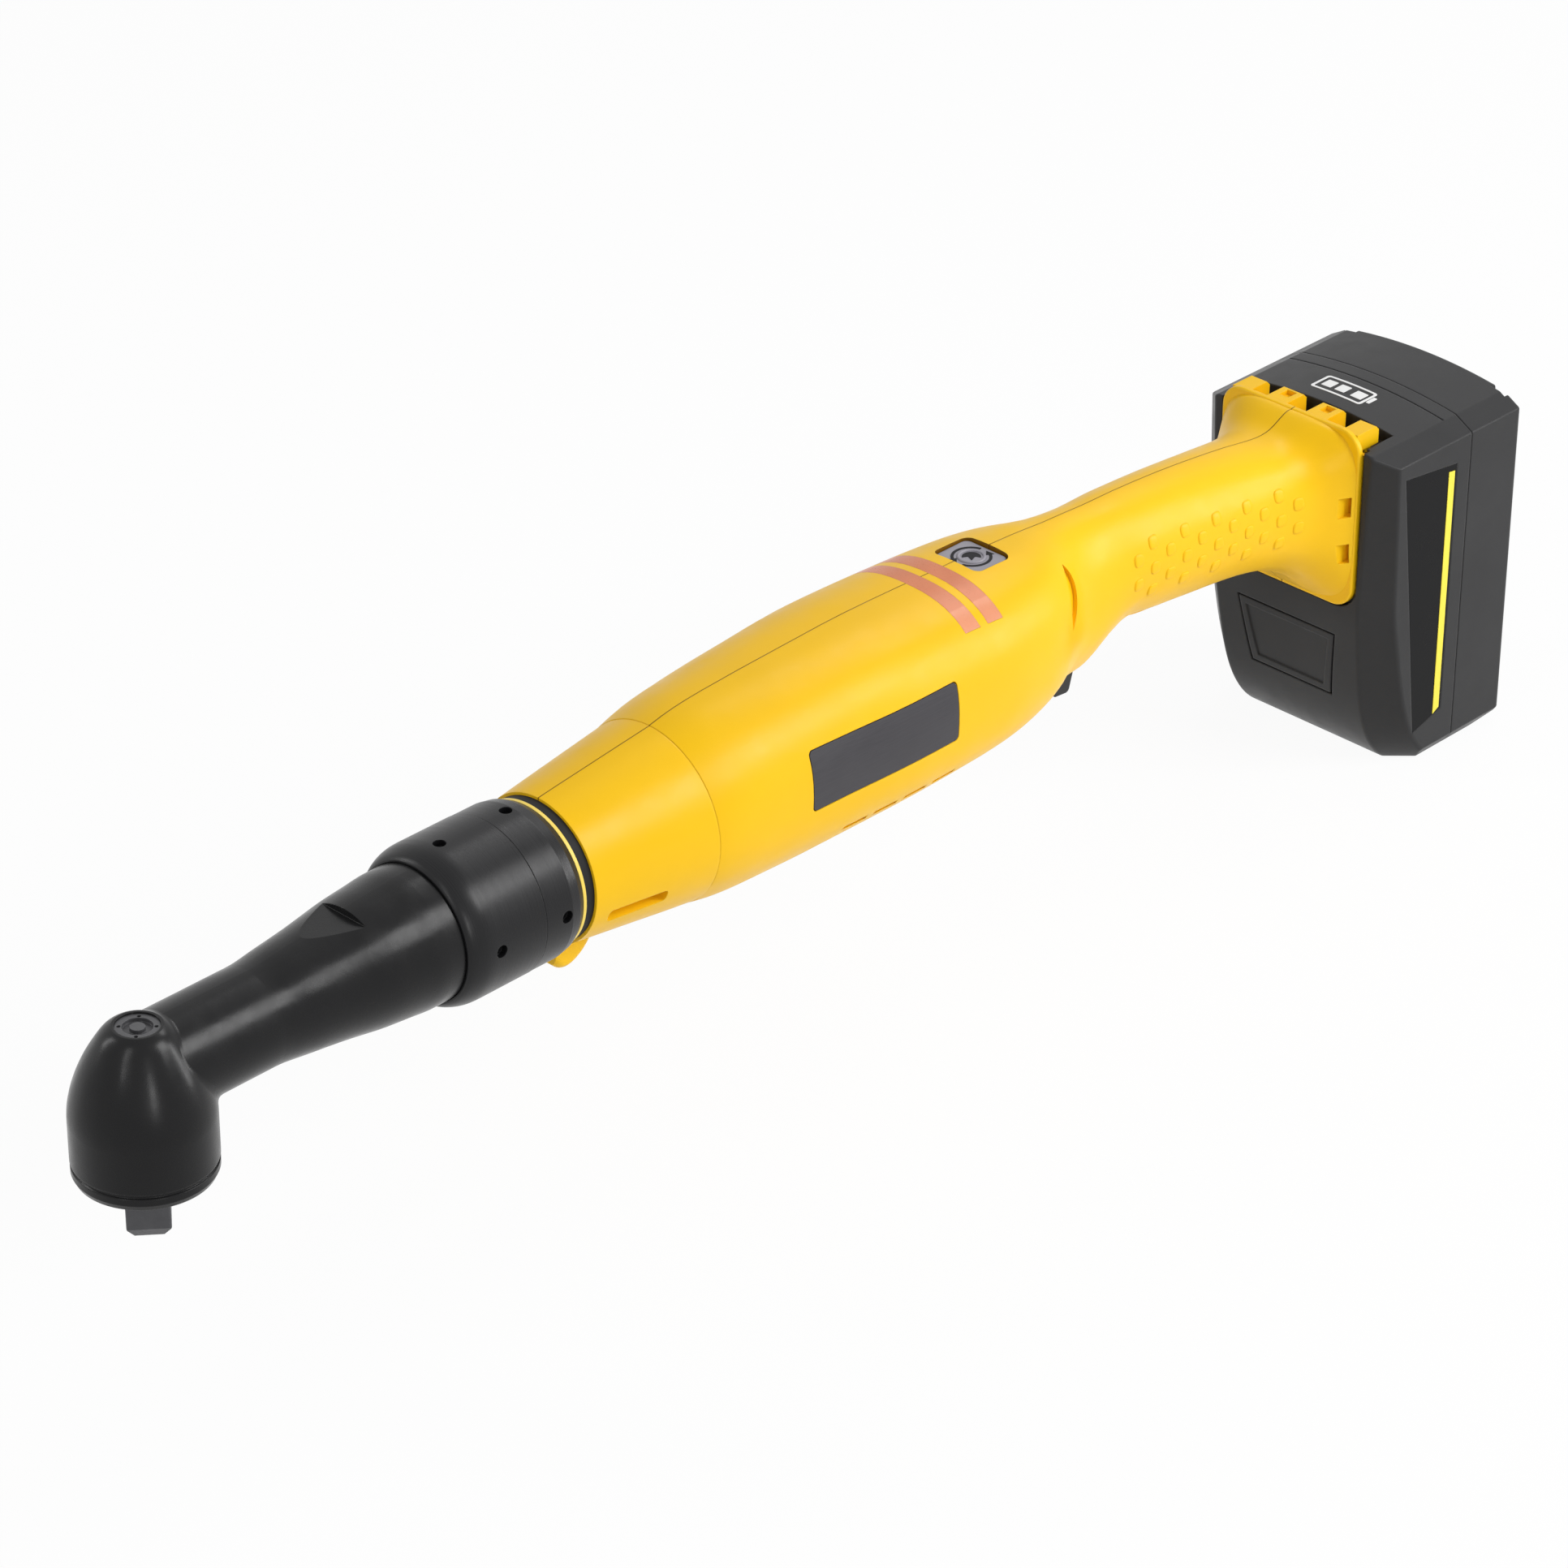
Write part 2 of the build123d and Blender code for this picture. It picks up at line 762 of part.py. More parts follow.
def coupling_nut():
    brow = [(nut_front + back, nut_radius + out) for back, out in nut_brow]
    lip = neck_rear_radius + nut_lip_gap
    inner = [brow[-1], (nut_rear, nut_radius), (nut_rear, thread_radius), (neck_end + nut_gap, thread_radius),
             (neck_end + nut_gap, neck_flange_radius), (neck_lip, neck_flange_radius), (neck_lip, lip),
             (nut_front, lip), brow[0]]
    body = turned_x(path(inner) + [Spline(*brow, tangents=[(0.5, 1), (1, 0)])])
    return body - spanner_holes(spanner_rows[0], nut_radius)


def lock_ring():
    taper = [(ring_front + back, ring_radius + out) for back, out in ring_taper]
    profile = [(ring_front, thread_radius), (ring_front, ring_radius), *taper, (ring_rear, ring_rear_radius),
               (ring_rear, thread_radius)]
    body = revolve(Plane.XZ * make_face(Polyline(*profile, close=True)), Axis.X)
    return body - spanner_holes(spanner_rows[1], ring_radius)


def spacer_ring():
    return rod_x(ring_rear, seal_front, spacer_radius, thread_radius)


def front_seal():
    return rod_x(seal_front, body_front, seal_outer, thread_radius)


# Motor


def sector(x_from, x_to, inner, outer, half_angle, middle):
    """Part of a tube about the tool axis, its middle this many degrees from +Z."""
    face = make_face(Polyline((x_from, inner), (x_to, inner), (x_to, outer), (x_from, outer), close=True))
    solid = revolve(Plane.XZ * face, Axis.X, revolution_arc=2 * half_angle)
    return Rot(middle - half_angle, 0, 0) * solid


def motor_can():
    body = rod_x(motor_front, motor_rear, motor_radius)
    body -= rod_x(motor_front + can_front_wall, rear_pocket[0], motor_radius - can_wall)
    body -= rod_x(motor_front, motor_front + can_front_wall, can_front_hole)
    body -= rod_x(*rear_pocket, motor_bearing[0])
    body -= rod_x(rear_pocket[1], motor_rear, can_rear_hole)
    return body


def stator_core():
    body = rod_x(stator_from, stator_to, motor_radius - can_wall, stator_bore)
    for number in range(stator_teeth):
        middle = 360 / stator_teeth * number
        body -= sector(stator_from, stator_to, *stator_slot, stator_slot_half_angle, middle)
        body -= sector(stator_from, stator_to, stator_bore, stator_slot[0], stator_mouth_half_angle, middle)
    return body


def stator_windings():
    coils = []
    inner, outer = stator_slot[0] + coil_gap, stator_slot[1] - coil_gap
    for number in range(stator_teeth):
        middle = 360 / stator_teeth * number
        coils.append(sector(stator_from - coil_overhang, stator_to + coil_overhang, inner, outer, coil_half_angle,
                            middle))
    return coils


def rotor_shaft():
    body = rod_x(planet_front, rotor_step, sun_bore)
    body += rod_x(rotor_step, rear_pocket[1], motor_bearing[1])
    return body


def rotor_core():
    inner = rotor_radius - magnet_depth
    return rod_x(stator_from + rotor_inset, stator_to - rotor_inset, inner, motor_bearing[1])


def rotor_magnets():
    magnets = []
    for number in range(magnet_count):
        middle = 360 / magnet_count * number
        magnets.append(sector(stator_from + rotor_inset, stator_to - rotor_inset, rotor_radius - magnet_depth,
                              rotor_radius, magnet_half_angle, middle))
    return magnets


# Housing halves


def section(x, inset):
    """Half of the housing's section at a station, on the +Y side, drawn in by the inset."""
    middle, half_height, half_width, squareness = section_at(x)
    half_height -= inset
    half_width -= inset
    points = []
    for step in range(section_points):
        angle = math.pi / 2 - math.pi * step / (section_points - 1)
        across = max(0.0, math.cos(angle)) ** (2 / squareness)
        up = math.copysign(abs(math.sin(angle)) ** (2 / squareness), math.sin(angle))
        points.append((half_width * across, middle + half_height * up))
    points[0] = (0, middle + half_height)
    points[-1] = (0, middle - half_height)
    curve = Spline(*points, tangents=[(1, 0), (-1, 0)])
    return Plane.YZ.offset(x) * make_face([curve, Line(points[-1], points[0])])


def slope_at(number, column):
    """Slope of one column at a station, level where it turns, so that the curve stays between its stations."""
    rises = []
    for low, high in zip(stations[max(0, number - 1):number + 1], stations[max(1, number):number + 2]):
        rises.append((high[column] - low[column]) / (high[0] - low[0]))
    if rises[0] * rises[-1] <= 0:
        return 0.0
    return 2 * rises[0] * rises[-1] / (rises[0] + rises[-1])


def section_at(x):
    """Middle height, half height, half width and squareness at any X, on a smooth curve through the stations."""
    number = max(index for index, row in enumerate(stations[:-1]) if row[0] <= x)
    low, high = stations[number:number + 2]
    span = high[0] - low[0]
    share = (x - low[0]) / span
    rise = share ** 2 * (3 - 2 * share)
    leaving = share * (1 - share) ** 2 * span
    arriving = share ** 2 * (share - 1) * span
    return [low[column] + rise * (high[column] - low[column]) + leaving * slope_at(number, column)
            + arriving * slope_at(number + 1, column) for column in range(1, len(low))]


def side_at(x, z):
    """How far the housing's outside lies from the seam plane at this X and Z."""
    middle, half_height, half_width, squareness = section_at(x)
    up = abs(z - middle) / half_height
    return half_width * (1 - up ** squareness) ** (1 / squareness)


def body_half(inset, last):
    """Half of the body and handle as far as the last station, drawn in by the inset."""
    first = stations[0][0]
    count = round((last - first) / section_step)
    return loft([section(first + (last - first) * number / count, inset) for number in range(count + 1)])


def cone_half():
    edges = path([cone_curve[-1], (case_rear, cone_curve[-1][1]), (case_rear, case_radius),
                  (body_front, case_radius), cone_curve[0]])
    return turned_x(edges + [Spline(*cone_curve)]) & block((0, 600), (0, big), (-big, big))


def lamp_lug():
    """Half of the lug under the front of the body that holds the work light."""
    curve = [(body_front + back, z) for back, z in lug_outline]
    face = make_face([Spline(*curve)] + path([curve[-1], (body_front, lug_top), curve[0]]))
    lug = extrude(Plane.XZ * face, -lug_half_width)
    lug = fillet(lug.faces().sort_by(Axis.Y)[-1].edges().sort_by(SortBy.LENGTH)[-1:], lug_edge)
    return lug - rod_x(body_front - over, case_rear, case_radius + lug_gap)


def flange_half():
    """Half of the rear flange with its rail and tabs."""
    height = flange_high - flange_low
    face = Pos(0, (flange_high + flange_low) / 2) * RectangleRounded(2 * flange_half_width, height, flange_corner)
    body = plate_yz(face, flange_from, flange_to)
    body = fillet(body.faces().sort_by(Axis.X)[0].edges(), flange_edge)
    body += block((flange_to, rail_neck_to), (0, rail_neck), (rail_low, rail_high))
    body += block((rail_neck_to, rail_to), (0, rail_lip), (rail_low, rail_high))
    lip = flange_from + flange_lip
    body -= block((lip, flange_to), (0, big), (tab_low, big))
    for centre, width, top in zip(tab_centres, tab_widths, tab_tops):
        tab = block((lip, tab_to), (centre - width / 2, centre + width / 2), (tab_low, top))
        body += chamfer(tab.faces().sort_by(Axis.X)[-1].edges().sort_by(Axis.Z)[-1:], tab_chamfer)
    hook = tab_centres[0]
    body -= block(hook_pocket, (hook - hook_half, hook + hook_half), (tab_tops[0] - hook_depth, big))
    return body & block((flange_from, tab_to), (0, big), (-big, big))


def crescent_groove(skin):
    """Half of the shallow groove that parts the cheek of the body from the handle."""
    rear = ThreePointArc(groove_top, groove_rear, groove_foot)
    front = ThreePointArc(groove_foot, groove_front, groove_top)
    return extrude(Plane.XZ * make_face([rear, front]), -big) & skin


def boss(x, z, y_from, radius):
    """Round boss from near the seam plane out into the wall, under the skin all round its end."""
    rim = [math.radians(turn) for turn in range(0, 360, 45)]
    reach = min(side_at(x + radius * math.cos(turn), z + radius * math.sin(turn)) for turn in rim)
    return rod_y(x, z, y_from, reach - boss_sink, radius)


def housing_half(outer, cuts):
    """The half on +Y with everything that both halves share; the cuts are the shallow ones in its skin."""
    body = outer - body_half(wall, stations[-2][0])
    body += cone_half()
    body += lamp_lug()
    body += flange_half()
    for x, z in bosses:
        body += boss(x, z, 0, boss_radius)
    body += boss(*trigger_pivot, trigger_half_width + trigger_boss_gap, boss_radius)
    for cut in cuts:
        body -= cut
    body -= button_window()
    body -= block(trigger_slot, (0, trigger_half_width + play), (-big, trigger_slot_top))
    body -= rod_y(*trigger_pivot, 0, trigger_half_width + trigger_pin_over + play, trigger_pin_radius)
    body -= cone_slot()
    body -= vents()
    body -= work_light_lens()
    body -= terminal_space()
    notch_y = flange_half_width - notch_margin
    for z in notch_heights:
        body -= block((flange_from - notch_reach, flange_from + notch_depth), (notch_y - notch_width, notch_y),
                      (z, z + notch_height))
    return body & block((0, pack_rear), (seam_gap / 2, big), (-big, big))


def button_window():
    window = Box(button_length + 2 * play, button_width + 2 * play, 2 * window_depth)
    return Pos(button_middle, 0, button_top) * fillet(window.edges().filter_by(Axis.Z), button_corner + play)


def cone_slot():
    """Long shallow slot low on the side of the front cone."""
    slot = Box(slot_length, slot_width, slot_rise, align=(Align.CENTER, Align.CENTER, Align.MIN))
    slot = fillet(slot.edges().filter_by(Axis.Z), slot_end)
    return Rot(-slot_turn, 0, 0) * Pos(slot_middle, 0, slot_floor) * Rot(0, -cone_slope, 0) * slot


def vents():
    """Row of narrow slits along the underside of the body."""
    slits = []
    for number in range(vent_count):
        start = vent_from + vent_pitch * number
        slits.append(block((start, start + vent_length), (motor_radius, big), vent_height))
    return slits


def terminal_space():
    return block((terminal_front, rail_to), (0, terminal_half), terminal_heights)


def screw_seat(x, z):
    """How far from the seam plane a screw head rests."""
    return side_at(x, z) - seat_depth


def housing_right(half):
    for x, z in bosses:
        half -= rod_y(x, z, 0, big, screw_radius)
        half -= rod_y(x, z, screw_seat(x, z), big, screw_head + play)
    return half


def housing_left(half):
    half = mirrored(half)
    for x, z in bosses:
        half -= rod_y(x, z, -screw_reach - screw_tip_room, 0, screw_radius)
    return half


def housing_screws():
    screws = []
    for x, z in bosses:
        seat = screw_seat(x, z)
        top = seat + screw_head_height
        hexagon = extrude(RegularPolygon(screw_hex, 6), screw_hex_depth)
        screw = rod_y(x, z, -screw_reach, seat, screw_radius)
        screw += rod_y(x, z, seat, top, screw_head)
        screws.append(screw - Pos(x, top, z) * Rot(90, 0, 0) * hexagon)
    return screws


# Controls, lights and plates


def light_band_half(skin, start):
    return skin & block((start, start + band_width), (0, band_half_span), (band_low, big))


def label_half(skin, gap):
    """Label plate on +Y, this much smaller all round than its pocket."""
    length = label_to - label_from - 2 * gap
    height = label_high - label_low - 2 * gap
    middle = Pos((label_from + label_to) / 2, (label_low + label_high) / 2)
    face = middle * RectangleRounded(length, height, label_corner)
    return skin & extrude(Plane.XZ * face, -big)


def whole(half):
    """One solid from a half and its mirror image."""
    return half + mirrored(half)


def function_button():
    plate = Box(button_length, button_width, button_thick, align=(Align.CENTER, Align.CENTER, Align.MAX))
    plate = fillet(plate.edges().filter_by(Axis.Z), button_corner)
    plate = fillet(plate.faces().sort_by(Axis.Z)[-1].edges(), button_edge)
    stem = Cylinder(button_stem, button_stem_length, align=(Align.CENTER, Align.CENTER, Align.MAX))
    return Pos(button_middle, 0, button_top) * (plate + Pos(0, 0, -button_thick) * stem)


def button_switch():
    floor = light_board_low + board_thick
    top = floor + switch_height
    across = (-switch_half, switch_half)
    body = block((button_middle - switch_half, button_middle + switch_half), across, (floor, top))
    plunger = Cylinder(plunger_radius, plunger_height, align=(Align.CENTER, Align.CENTER, Align.MIN))
    return body + Pos(button_middle, 0, top) * plunger


def light_board():
    floor = light_board_low + board_thick
    body = block(light_board_x, (-light_board_half, light_board_half), (light_board_low, floor))
    for start in band_starts:
        middle = start + band_width / 2
        for place in lamp_places:
            body += block((middle - lamp_half, middle + lamp_half), (place - lamp_half, place + lamp_half),
                          (floor, floor + lamp_tall))
    return body


def trigger():
    low = -trigger_half_width
    body = plate_xz(trigger_outline, low, trigger_half_width)
    body = fillet(body.edges().filter_by(Axis.Y), trigger_edge)
    return body - rod_y(*trigger_pivot, low, trigger_half_width, trigger_pin_radius + fit)


def trigger_pin():
    reach = trigger_half_width + trigger_pin_over
    return rod_y(*trigger_pivot, -reach, reach, trigger_pin_radius)


def trigger_switch():
    return block(trigger_switch_x, (-trigger_switch_half, trigger_switch_half), (trigger_switch_low, board_low))


def trigger_spring():
    outer, inner = trigger_spring_radii
    spring = rod_z(trigger_switch_low - trigger_spring_length, trigger_switch_low, outer, inner)
    return Pos(trigger_spring_place, 0, 0) * spring - Pos(0, 0, play) * trigger()


def control_board():
    top = board_low + board_thick
    (wide_x, wide_half), (narrow_x, narrow_half) = board_wide, board_narrow
    board = block(wide_x, (-wide_half, wide_half), (board_low, top))
    board += block(narrow_x, (-narrow_half, narrow_half), (board_low, top))
    for place in (-board_column, 0.0, board_column):
        board += block(driver_x, (place - driver_half, place + driver_half), (top, top + driver_height))
        board += Pos(capacitor_place, place, 0) * rod_z(top, top + capacitor_height, capacitor_radius)
    board += block(chip_x, (-chip_half, chip_half), (top, top + chip_height))
    return board


def work_light_lens():
    return Pos(0, 0, lamp_height) * rod_x(body_front, lamp_rear, lamp_radius)


def terminal_block():
    return whole(terminal_space()) - terminal_blades()


def terminal_blades():
    blades = []
    for y in blade_places:
        blades.append(block(blade_x, (y - blade_thick / 2, y + blade_thick / 2), blade_heights))
    return blades


# Battery pack


def nose_edges(front, low):
    """The pack's nose from its front face down, closed along this X and this height."""
    curve = Spline(*pack_nose, tangents=[(0, -1), nose_end])
    foot = (pack_nose[-1][0] + nose_end[0] * corner_reach, low)
    return [curve] + path([pack_nose[-1], foot, (front, low), (front, corner_out), (pack_front, corner_out),
                           pack_nose[0]])


def pack_crown(drop):
    """Arc over the pack's top from shoulder to shoulder, this much lower."""
    y, z = pack_shoulder
    return ThreePointArc((y, z - drop), (0, pack_crest - drop), (-y, z - drop))


def pack_line_groove():
    """Shallow groove across the pack's top, a little in front of the seam."""
    y, z = pack_shoulder
    edges = path([(-y, z - pack_line_depth), (-y, big), (y, big), (y, z - pack_line_depth)])
    return plate_yz(make_face([pack_crown(pack_line_depth), *edges]), pack_line, pack_line + pack_line_width)


def pack_block():
    """Outside of the pack with nothing cut from it."""
    shoulder_y, shoulder_z = pack_shoulder
    edges = [pack_crown(0.0)]
    edges += path([(-shoulder_y, shoulder_z), (-pack_half_width, pack_side_top), (-pack_half_width, pack_side_low),
                   (-pack_foot, pack_low), (pack_foot, pack_low), (pack_half_width, pack_side_low),
                   (pack_half_width, pack_side_top), (shoulder_y, shoulder_z)])
    body = plate_yz(make_face(edges), pack_front, pack_rear)
    nose = [Spline(*pack_nose, tangents=[(0, -1), nose_end])]
    nose += path([pack_nose[-1], *pack_heel, (pack_rear, big), (pack_front, big), pack_nose[0]])
    body &= extrude(Plane.XZ * make_face(nose), 2 * big, both=True)
    corner = pack_corner()
    body = body - corner - mirrored(corner)
    for half_width in (pack_half_width, pack_face_half):
        body = fillet(bevel_edges(body, half_width), pack_edge)
    body = fillet([edge for edge in body.edges().filter_by(Axis.X) if edge.length > edge_least], shoulder_edge)
    body = fillet(body.faces().sort_by(Axis.X)[-1].edges(), pack_edge)
    notch = block((pack_rear - rear_notch_depth, pack_rear), rear_notch, (rear_notch_low, big))
    return body - notch - mirrored(notch)


def bevel_edges(body, half_width):
    """Upright edges of the front corner bevels that lie about this far from the seam plane."""
    edges = []
    for edge in body.edges():
        middle = edge @ 0.5
        tall = abs((edge @ 0).Z - (edge @ 1).Z) > edge_least
        beside = abs(abs(middle.Y) - half_width) < edge_near
        if tall and beside and middle.X < pack_seam - edge_near:
            edges.append(edge)
    return edges


def pack_corner():
    """Wedge that bevels the front corner on +Y and follows the nose down."""
    top = pack_nose[0][1]
    slant = Vector(pack_bevel, pack_half_width - pack_face_half, 0)
    start = Vector(0, pack_face_half, top) - slant * corner_stretch
    plane = Plane(origin=start, x_dir=(1, 0, 0), z_dir=(0, -1, pack_taper))
    face = Pos(0, -top) * make_face(nose_edges(pack_front - corner_reach, pack_low - nose_drop))
    return extrude(plane * face, (2 + corner_stretch) * slant.length, dir=slant)


def cavity_block(top):
    """Inner space of the pack up to this height."""
    points = [(x, min(z, top)) for x, z in cavity]
    return plate_xz(points, -cavity_half_width, cavity_half_width)


def dock_space():
    """Room in the pack for flange, rails, tabs, blades and contacts, open at the top."""
    face = room_up(pack_front - over, flange_to + play, flange_half_width + dock_gap, flange_low - dock_gap)
    face = fillet(face.edges().filter_by(Axis.X).group_by(Axis.Z)[0], flange_corner + dock_gap)
    room = face + room_up(flange_to, rail_to + play, rail_neck + play, rail_low - play)
    room += room_up(rail_neck_to - play, rail_to + play, rail_lip + play, rail_low - play)
    room += room_up(flange_to, tab_room_to, tab_room_half, tab_room_low)
    for y in blade_places:
        room += Pos(0, y, 0) * room_up(rail_to, button_floor, blade_slot, blade_slot_low)
    return room


def room_up(x_from, x_to, half_width, low):
    """Block about the seam plane from this height to well above the pack."""
    return block((x_from, x_to), (-half_width, half_width), (low, big))


def latch_prism(grow, x_from, x_to):
    """Prism along X with the outline of the release button, grown by a margin."""
    points = [(button_high_half + grow, button_high + grow), (button_low_half + grow, button_low - grow),
              (-button_low_half - grow, button_low - grow), (-button_high_half - grow, button_high + grow)]
    return plate_yz(make_face(Polyline(*points, close=True)), x_from, x_to)


def foot_relief():
    """Shallow relief in the front edge of the pack's bottom, so that a tilted pack stands on the edge's two ends."""
    return block((pack_front, foot_relief_to), (-foot_relief_half, foot_relief_half),
                 (-big, pack_low + foot_relief_depth))


def pack_screw_places():
    return [(side * pack_screw_y, z) for side in (1, -1) for z in pack_screw_z]


def pack_case(outside):
    """Both shells of the pack in one, with the columns for its screws."""
    body = outside - cavity_block(cavity_top)
    for y, z in pack_screw_places():
        body += Pos(0, y, z) * rod_x(cavity_front, cavity_rear, column_radius)
    body &= outside
    body -= dock_space()
    body -= pack_line_groove()
    body -= foot_relief()
    body -= latch_prism(latch_gap, flange_from, button_floor)
    for panel in side_panels(outside):
        body -= panel
    for y, z in pack_screw_places():
        body -= Pos(0, y, z) * rod_x(pack_screw_hole, pack_rear, screw_radius)
        body -= Pos(0, y, z) * rod_x(pack_rear - pack_screw_sink, pack_rear, screw_head)
    return body


def battery_front_shell(case):
    return case & block((pack_front, pack_seam - pack_seam_gap), (-big, big), (-big, big))


def battery_rear_shell(case):
    return case & block((pack_seam, pack_rear), (-big, big), (-big, big))


def battery_screws():
    screws = []
    for y, z in pack_screw_places():
        seat = pack_rear - pack_screw_sink
        screw = rod_x(pack_screw_tip, seat, screw_radius) + rod_x(seat, seat + screw_head_height, screw_head)
        screws.append(Pos(0, y, z) * screw)
    return screws


def battery_cells():
    cells = []
    for x in cell_columns:
        for z in cell_rows:
            cells.append(rod_y(x, z, -cell_length / 2, cell_length / 2, cell_radius))
    return cells


def cell_holders():
    plates = []
    for y in holder_places:
        plate = cavity_block(holder_top) & block((cavity_front, cavity_rear), (y, y + holder_thick), (-big, big))
        for x in cell_columns:
            for z in cell_rows:
                plate -= rod_y(x, z, y, y + holder_thick, cell_radius)
        plates.append(plate)
    return plates


def battery_board():
    return block(pack_board_x, (-pack_board_half, pack_board_half), (holder_top, holder_top + board_thick))


def battery_contacts():
    contacts = []
    for y in blade_places:
        fork = block((fork_front, button_floor), (y - fork_half, y + fork_half), fork_heights)
        fork -= block((fork_front, button_floor - fork_back), (y - fork_gap, y + fork_gap), fork_heights)
        contacts.append(fork)
    return contacts


def side_panels(outside):
    panels = []
    for side in (1, -1):
        inner = side * (pack_half_width - panel_depth)
        low, high = sorted((inner, side * big))
        panels.append(plate_xz(panel_outline, low, high) & outside)
    return panels


def release_button(outside):
    """Button flush with the pack's nose, with a shallow panel sunk into its face."""
    button = latch_prism(0.0, flange_from, button_back) & outside
    return button - (latch_prism(-button_rim, flange_from, button_back) - Pos(button_recess, 0, 0) * outside)


def release_spring():
    spring = rod_x(button_back, button_floor, *release_spring_radii)
    return Pos(0, 0, (button_high + button_low) / 2) * spring


# Files


def save(name, solids):
    """Write one node, lifted so that the drive's end face is at Z = 0."""
    if not isinstance(solids, list):
        solids = [solids]
    lifted = [Pos(0, 0, drive_tip) * part for solid in solids for part in solid.solids()]
    export_step(Compound(children=lifted), f"parts/{name}.step")


def build():
    os.makedirs("parts", exist_ok=True)
    outer = body_half(0.0, flange_from)
    skin = outer - body_half(inlay_depth, flange_from)
    bands = [light_band_half(skin, start) for start in band_starts]
    label = label_half(skin, label_gap)
    half = housing_half(outer, [*bands, label_half(skin, 0.0), crescent_groove(skin)])
    pack = pack_block()
    case = pack_case(pack)
    spindle_fixed, spindle_turning = spindle_bearing_parts()
    shaft_fixed, shaft_turning = bearings_at(shaft_bearing, shaft_bearing_places)
    carrier_fixed, carrier_turning = bearings_at(carrier_bearing, [carrier_bearing_place])
    motor_fixed, motor_turning = bearings_at(motor_bearing, motor_bearing_places)

    save("angle_head_housing", angle_head_housing())
    save("head_cap", head_cap())
    save("head_plug", head_plug())
    save("spindle_seal", spindle_seal())
    save("needle_bearing", needle_bearing())
    save("spindle_bearing_outer", spindle_fixed)
    save("spindle_bearing_inner", spindle_turning)
    save("output_spindle", output_spindle())
    save("crown_gear", crown_gear())
    save("detent_pin", detent_pin())
    save("detent_spring", detent_spring())

    save("pinion_shaft", pinion_shaft())
    save("shaft_bearings_outer", shaft_fixed + carrier_fixed)
    save("shaft_bearings_inner", shaft_turning + carrier_turning)
    save("planet_carrier", planet_carrier())
    save("planet_pins", planet_pins())
    for number in range(planet_count):
        save(f"planet_gear_{number + 1}", planet_gear(number))
    save("ring_gear", ring_gear())
    save("gear_case", gear_case())
    save("coupling_nut", coupling_nut())
    save("lock_ring", lock_ring())
    save("spacer_ring", spacer_ring())
    save("front_seal", front_seal())

    save("sun_gear", sun_gear())
    save("rotor_shaft", rotor_shaft())
    save("rotor_core", rotor_core())
    save("rotor_magnets", rotor_magnets())
    save("stator_core", stator_core())
    save("stator_windings", stator_windings())
    save("motor_can", motor_can())
    save("motor_bearings_outer", motor_fixed)
    save("motor_bearings_inner", motor_turning)

    save("housing_left", housing_left(half))
    save("housing_right", housing_right(half))
    save("housing_screws", housing_screws())
    save("light_bands", [whole(band) for band in bands])
    save("label_plates", [label, mirrored(label)])
    save("function_button", function_button())
    save("button_switch", button_switch())
    save("light_board", light_board())
    save("trigger", trigger())
    save("trigger_pin", trigger_pin())
    save("trigger_spring", trigger_spring())
    save("trigger_switch", trigger_switch())
    save("control_board", control_board())
    save("work_light_lens", work_light_lens())
    save("terminal_block", terminal_block())
    save("terminal_blades", terminal_blades())

    save("battery_front_shell", battery_front_shell(case))
    save("battery_rear_shell", battery_rear_shell(case))
    save("battery_screws", battery_screws())
    save("battery_cells", battery_cells())
    save("cell_holders", cell_holders())
    save("battery_board", battery_board())
    save("battery_contacts", battery_contacts())
    save("side_panels", side_panels(pack))
    save("release_button", release_button(pack))
    save("release_spring", release_spring())


build()
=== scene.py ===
import json
import math

import bmesh
import bpy
from mathutils import Matrix, Vector
from mathutils.bvhtree import BVHTree


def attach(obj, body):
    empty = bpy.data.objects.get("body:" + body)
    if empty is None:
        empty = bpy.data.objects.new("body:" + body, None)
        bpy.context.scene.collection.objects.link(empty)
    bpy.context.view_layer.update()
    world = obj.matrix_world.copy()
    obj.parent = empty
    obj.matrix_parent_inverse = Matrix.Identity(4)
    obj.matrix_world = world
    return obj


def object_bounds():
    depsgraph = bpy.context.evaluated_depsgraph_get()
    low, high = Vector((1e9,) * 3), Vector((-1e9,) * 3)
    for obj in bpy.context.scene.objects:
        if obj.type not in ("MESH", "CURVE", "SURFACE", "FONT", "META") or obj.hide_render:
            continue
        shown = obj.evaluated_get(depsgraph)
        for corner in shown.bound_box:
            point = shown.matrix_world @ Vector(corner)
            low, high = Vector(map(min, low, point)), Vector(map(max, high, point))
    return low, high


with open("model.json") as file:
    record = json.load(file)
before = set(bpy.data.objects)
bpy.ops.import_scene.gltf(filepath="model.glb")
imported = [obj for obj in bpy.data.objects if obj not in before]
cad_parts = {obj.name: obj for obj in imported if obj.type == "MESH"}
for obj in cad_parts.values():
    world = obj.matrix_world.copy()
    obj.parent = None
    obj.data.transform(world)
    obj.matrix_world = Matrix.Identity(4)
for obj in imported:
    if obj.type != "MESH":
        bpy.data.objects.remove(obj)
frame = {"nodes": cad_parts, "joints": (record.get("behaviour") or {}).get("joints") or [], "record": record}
cad_low, cad_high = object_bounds()
nodes = frame["nodes"]

# Millimetres to metres. The tool's own frame has X along the tool and Z from the motor's axis.
mm = 0.001
axis_height = next(joint["pos_m"][2] for joint in frame["joints"] if joint["name"] == "rotor_spin")

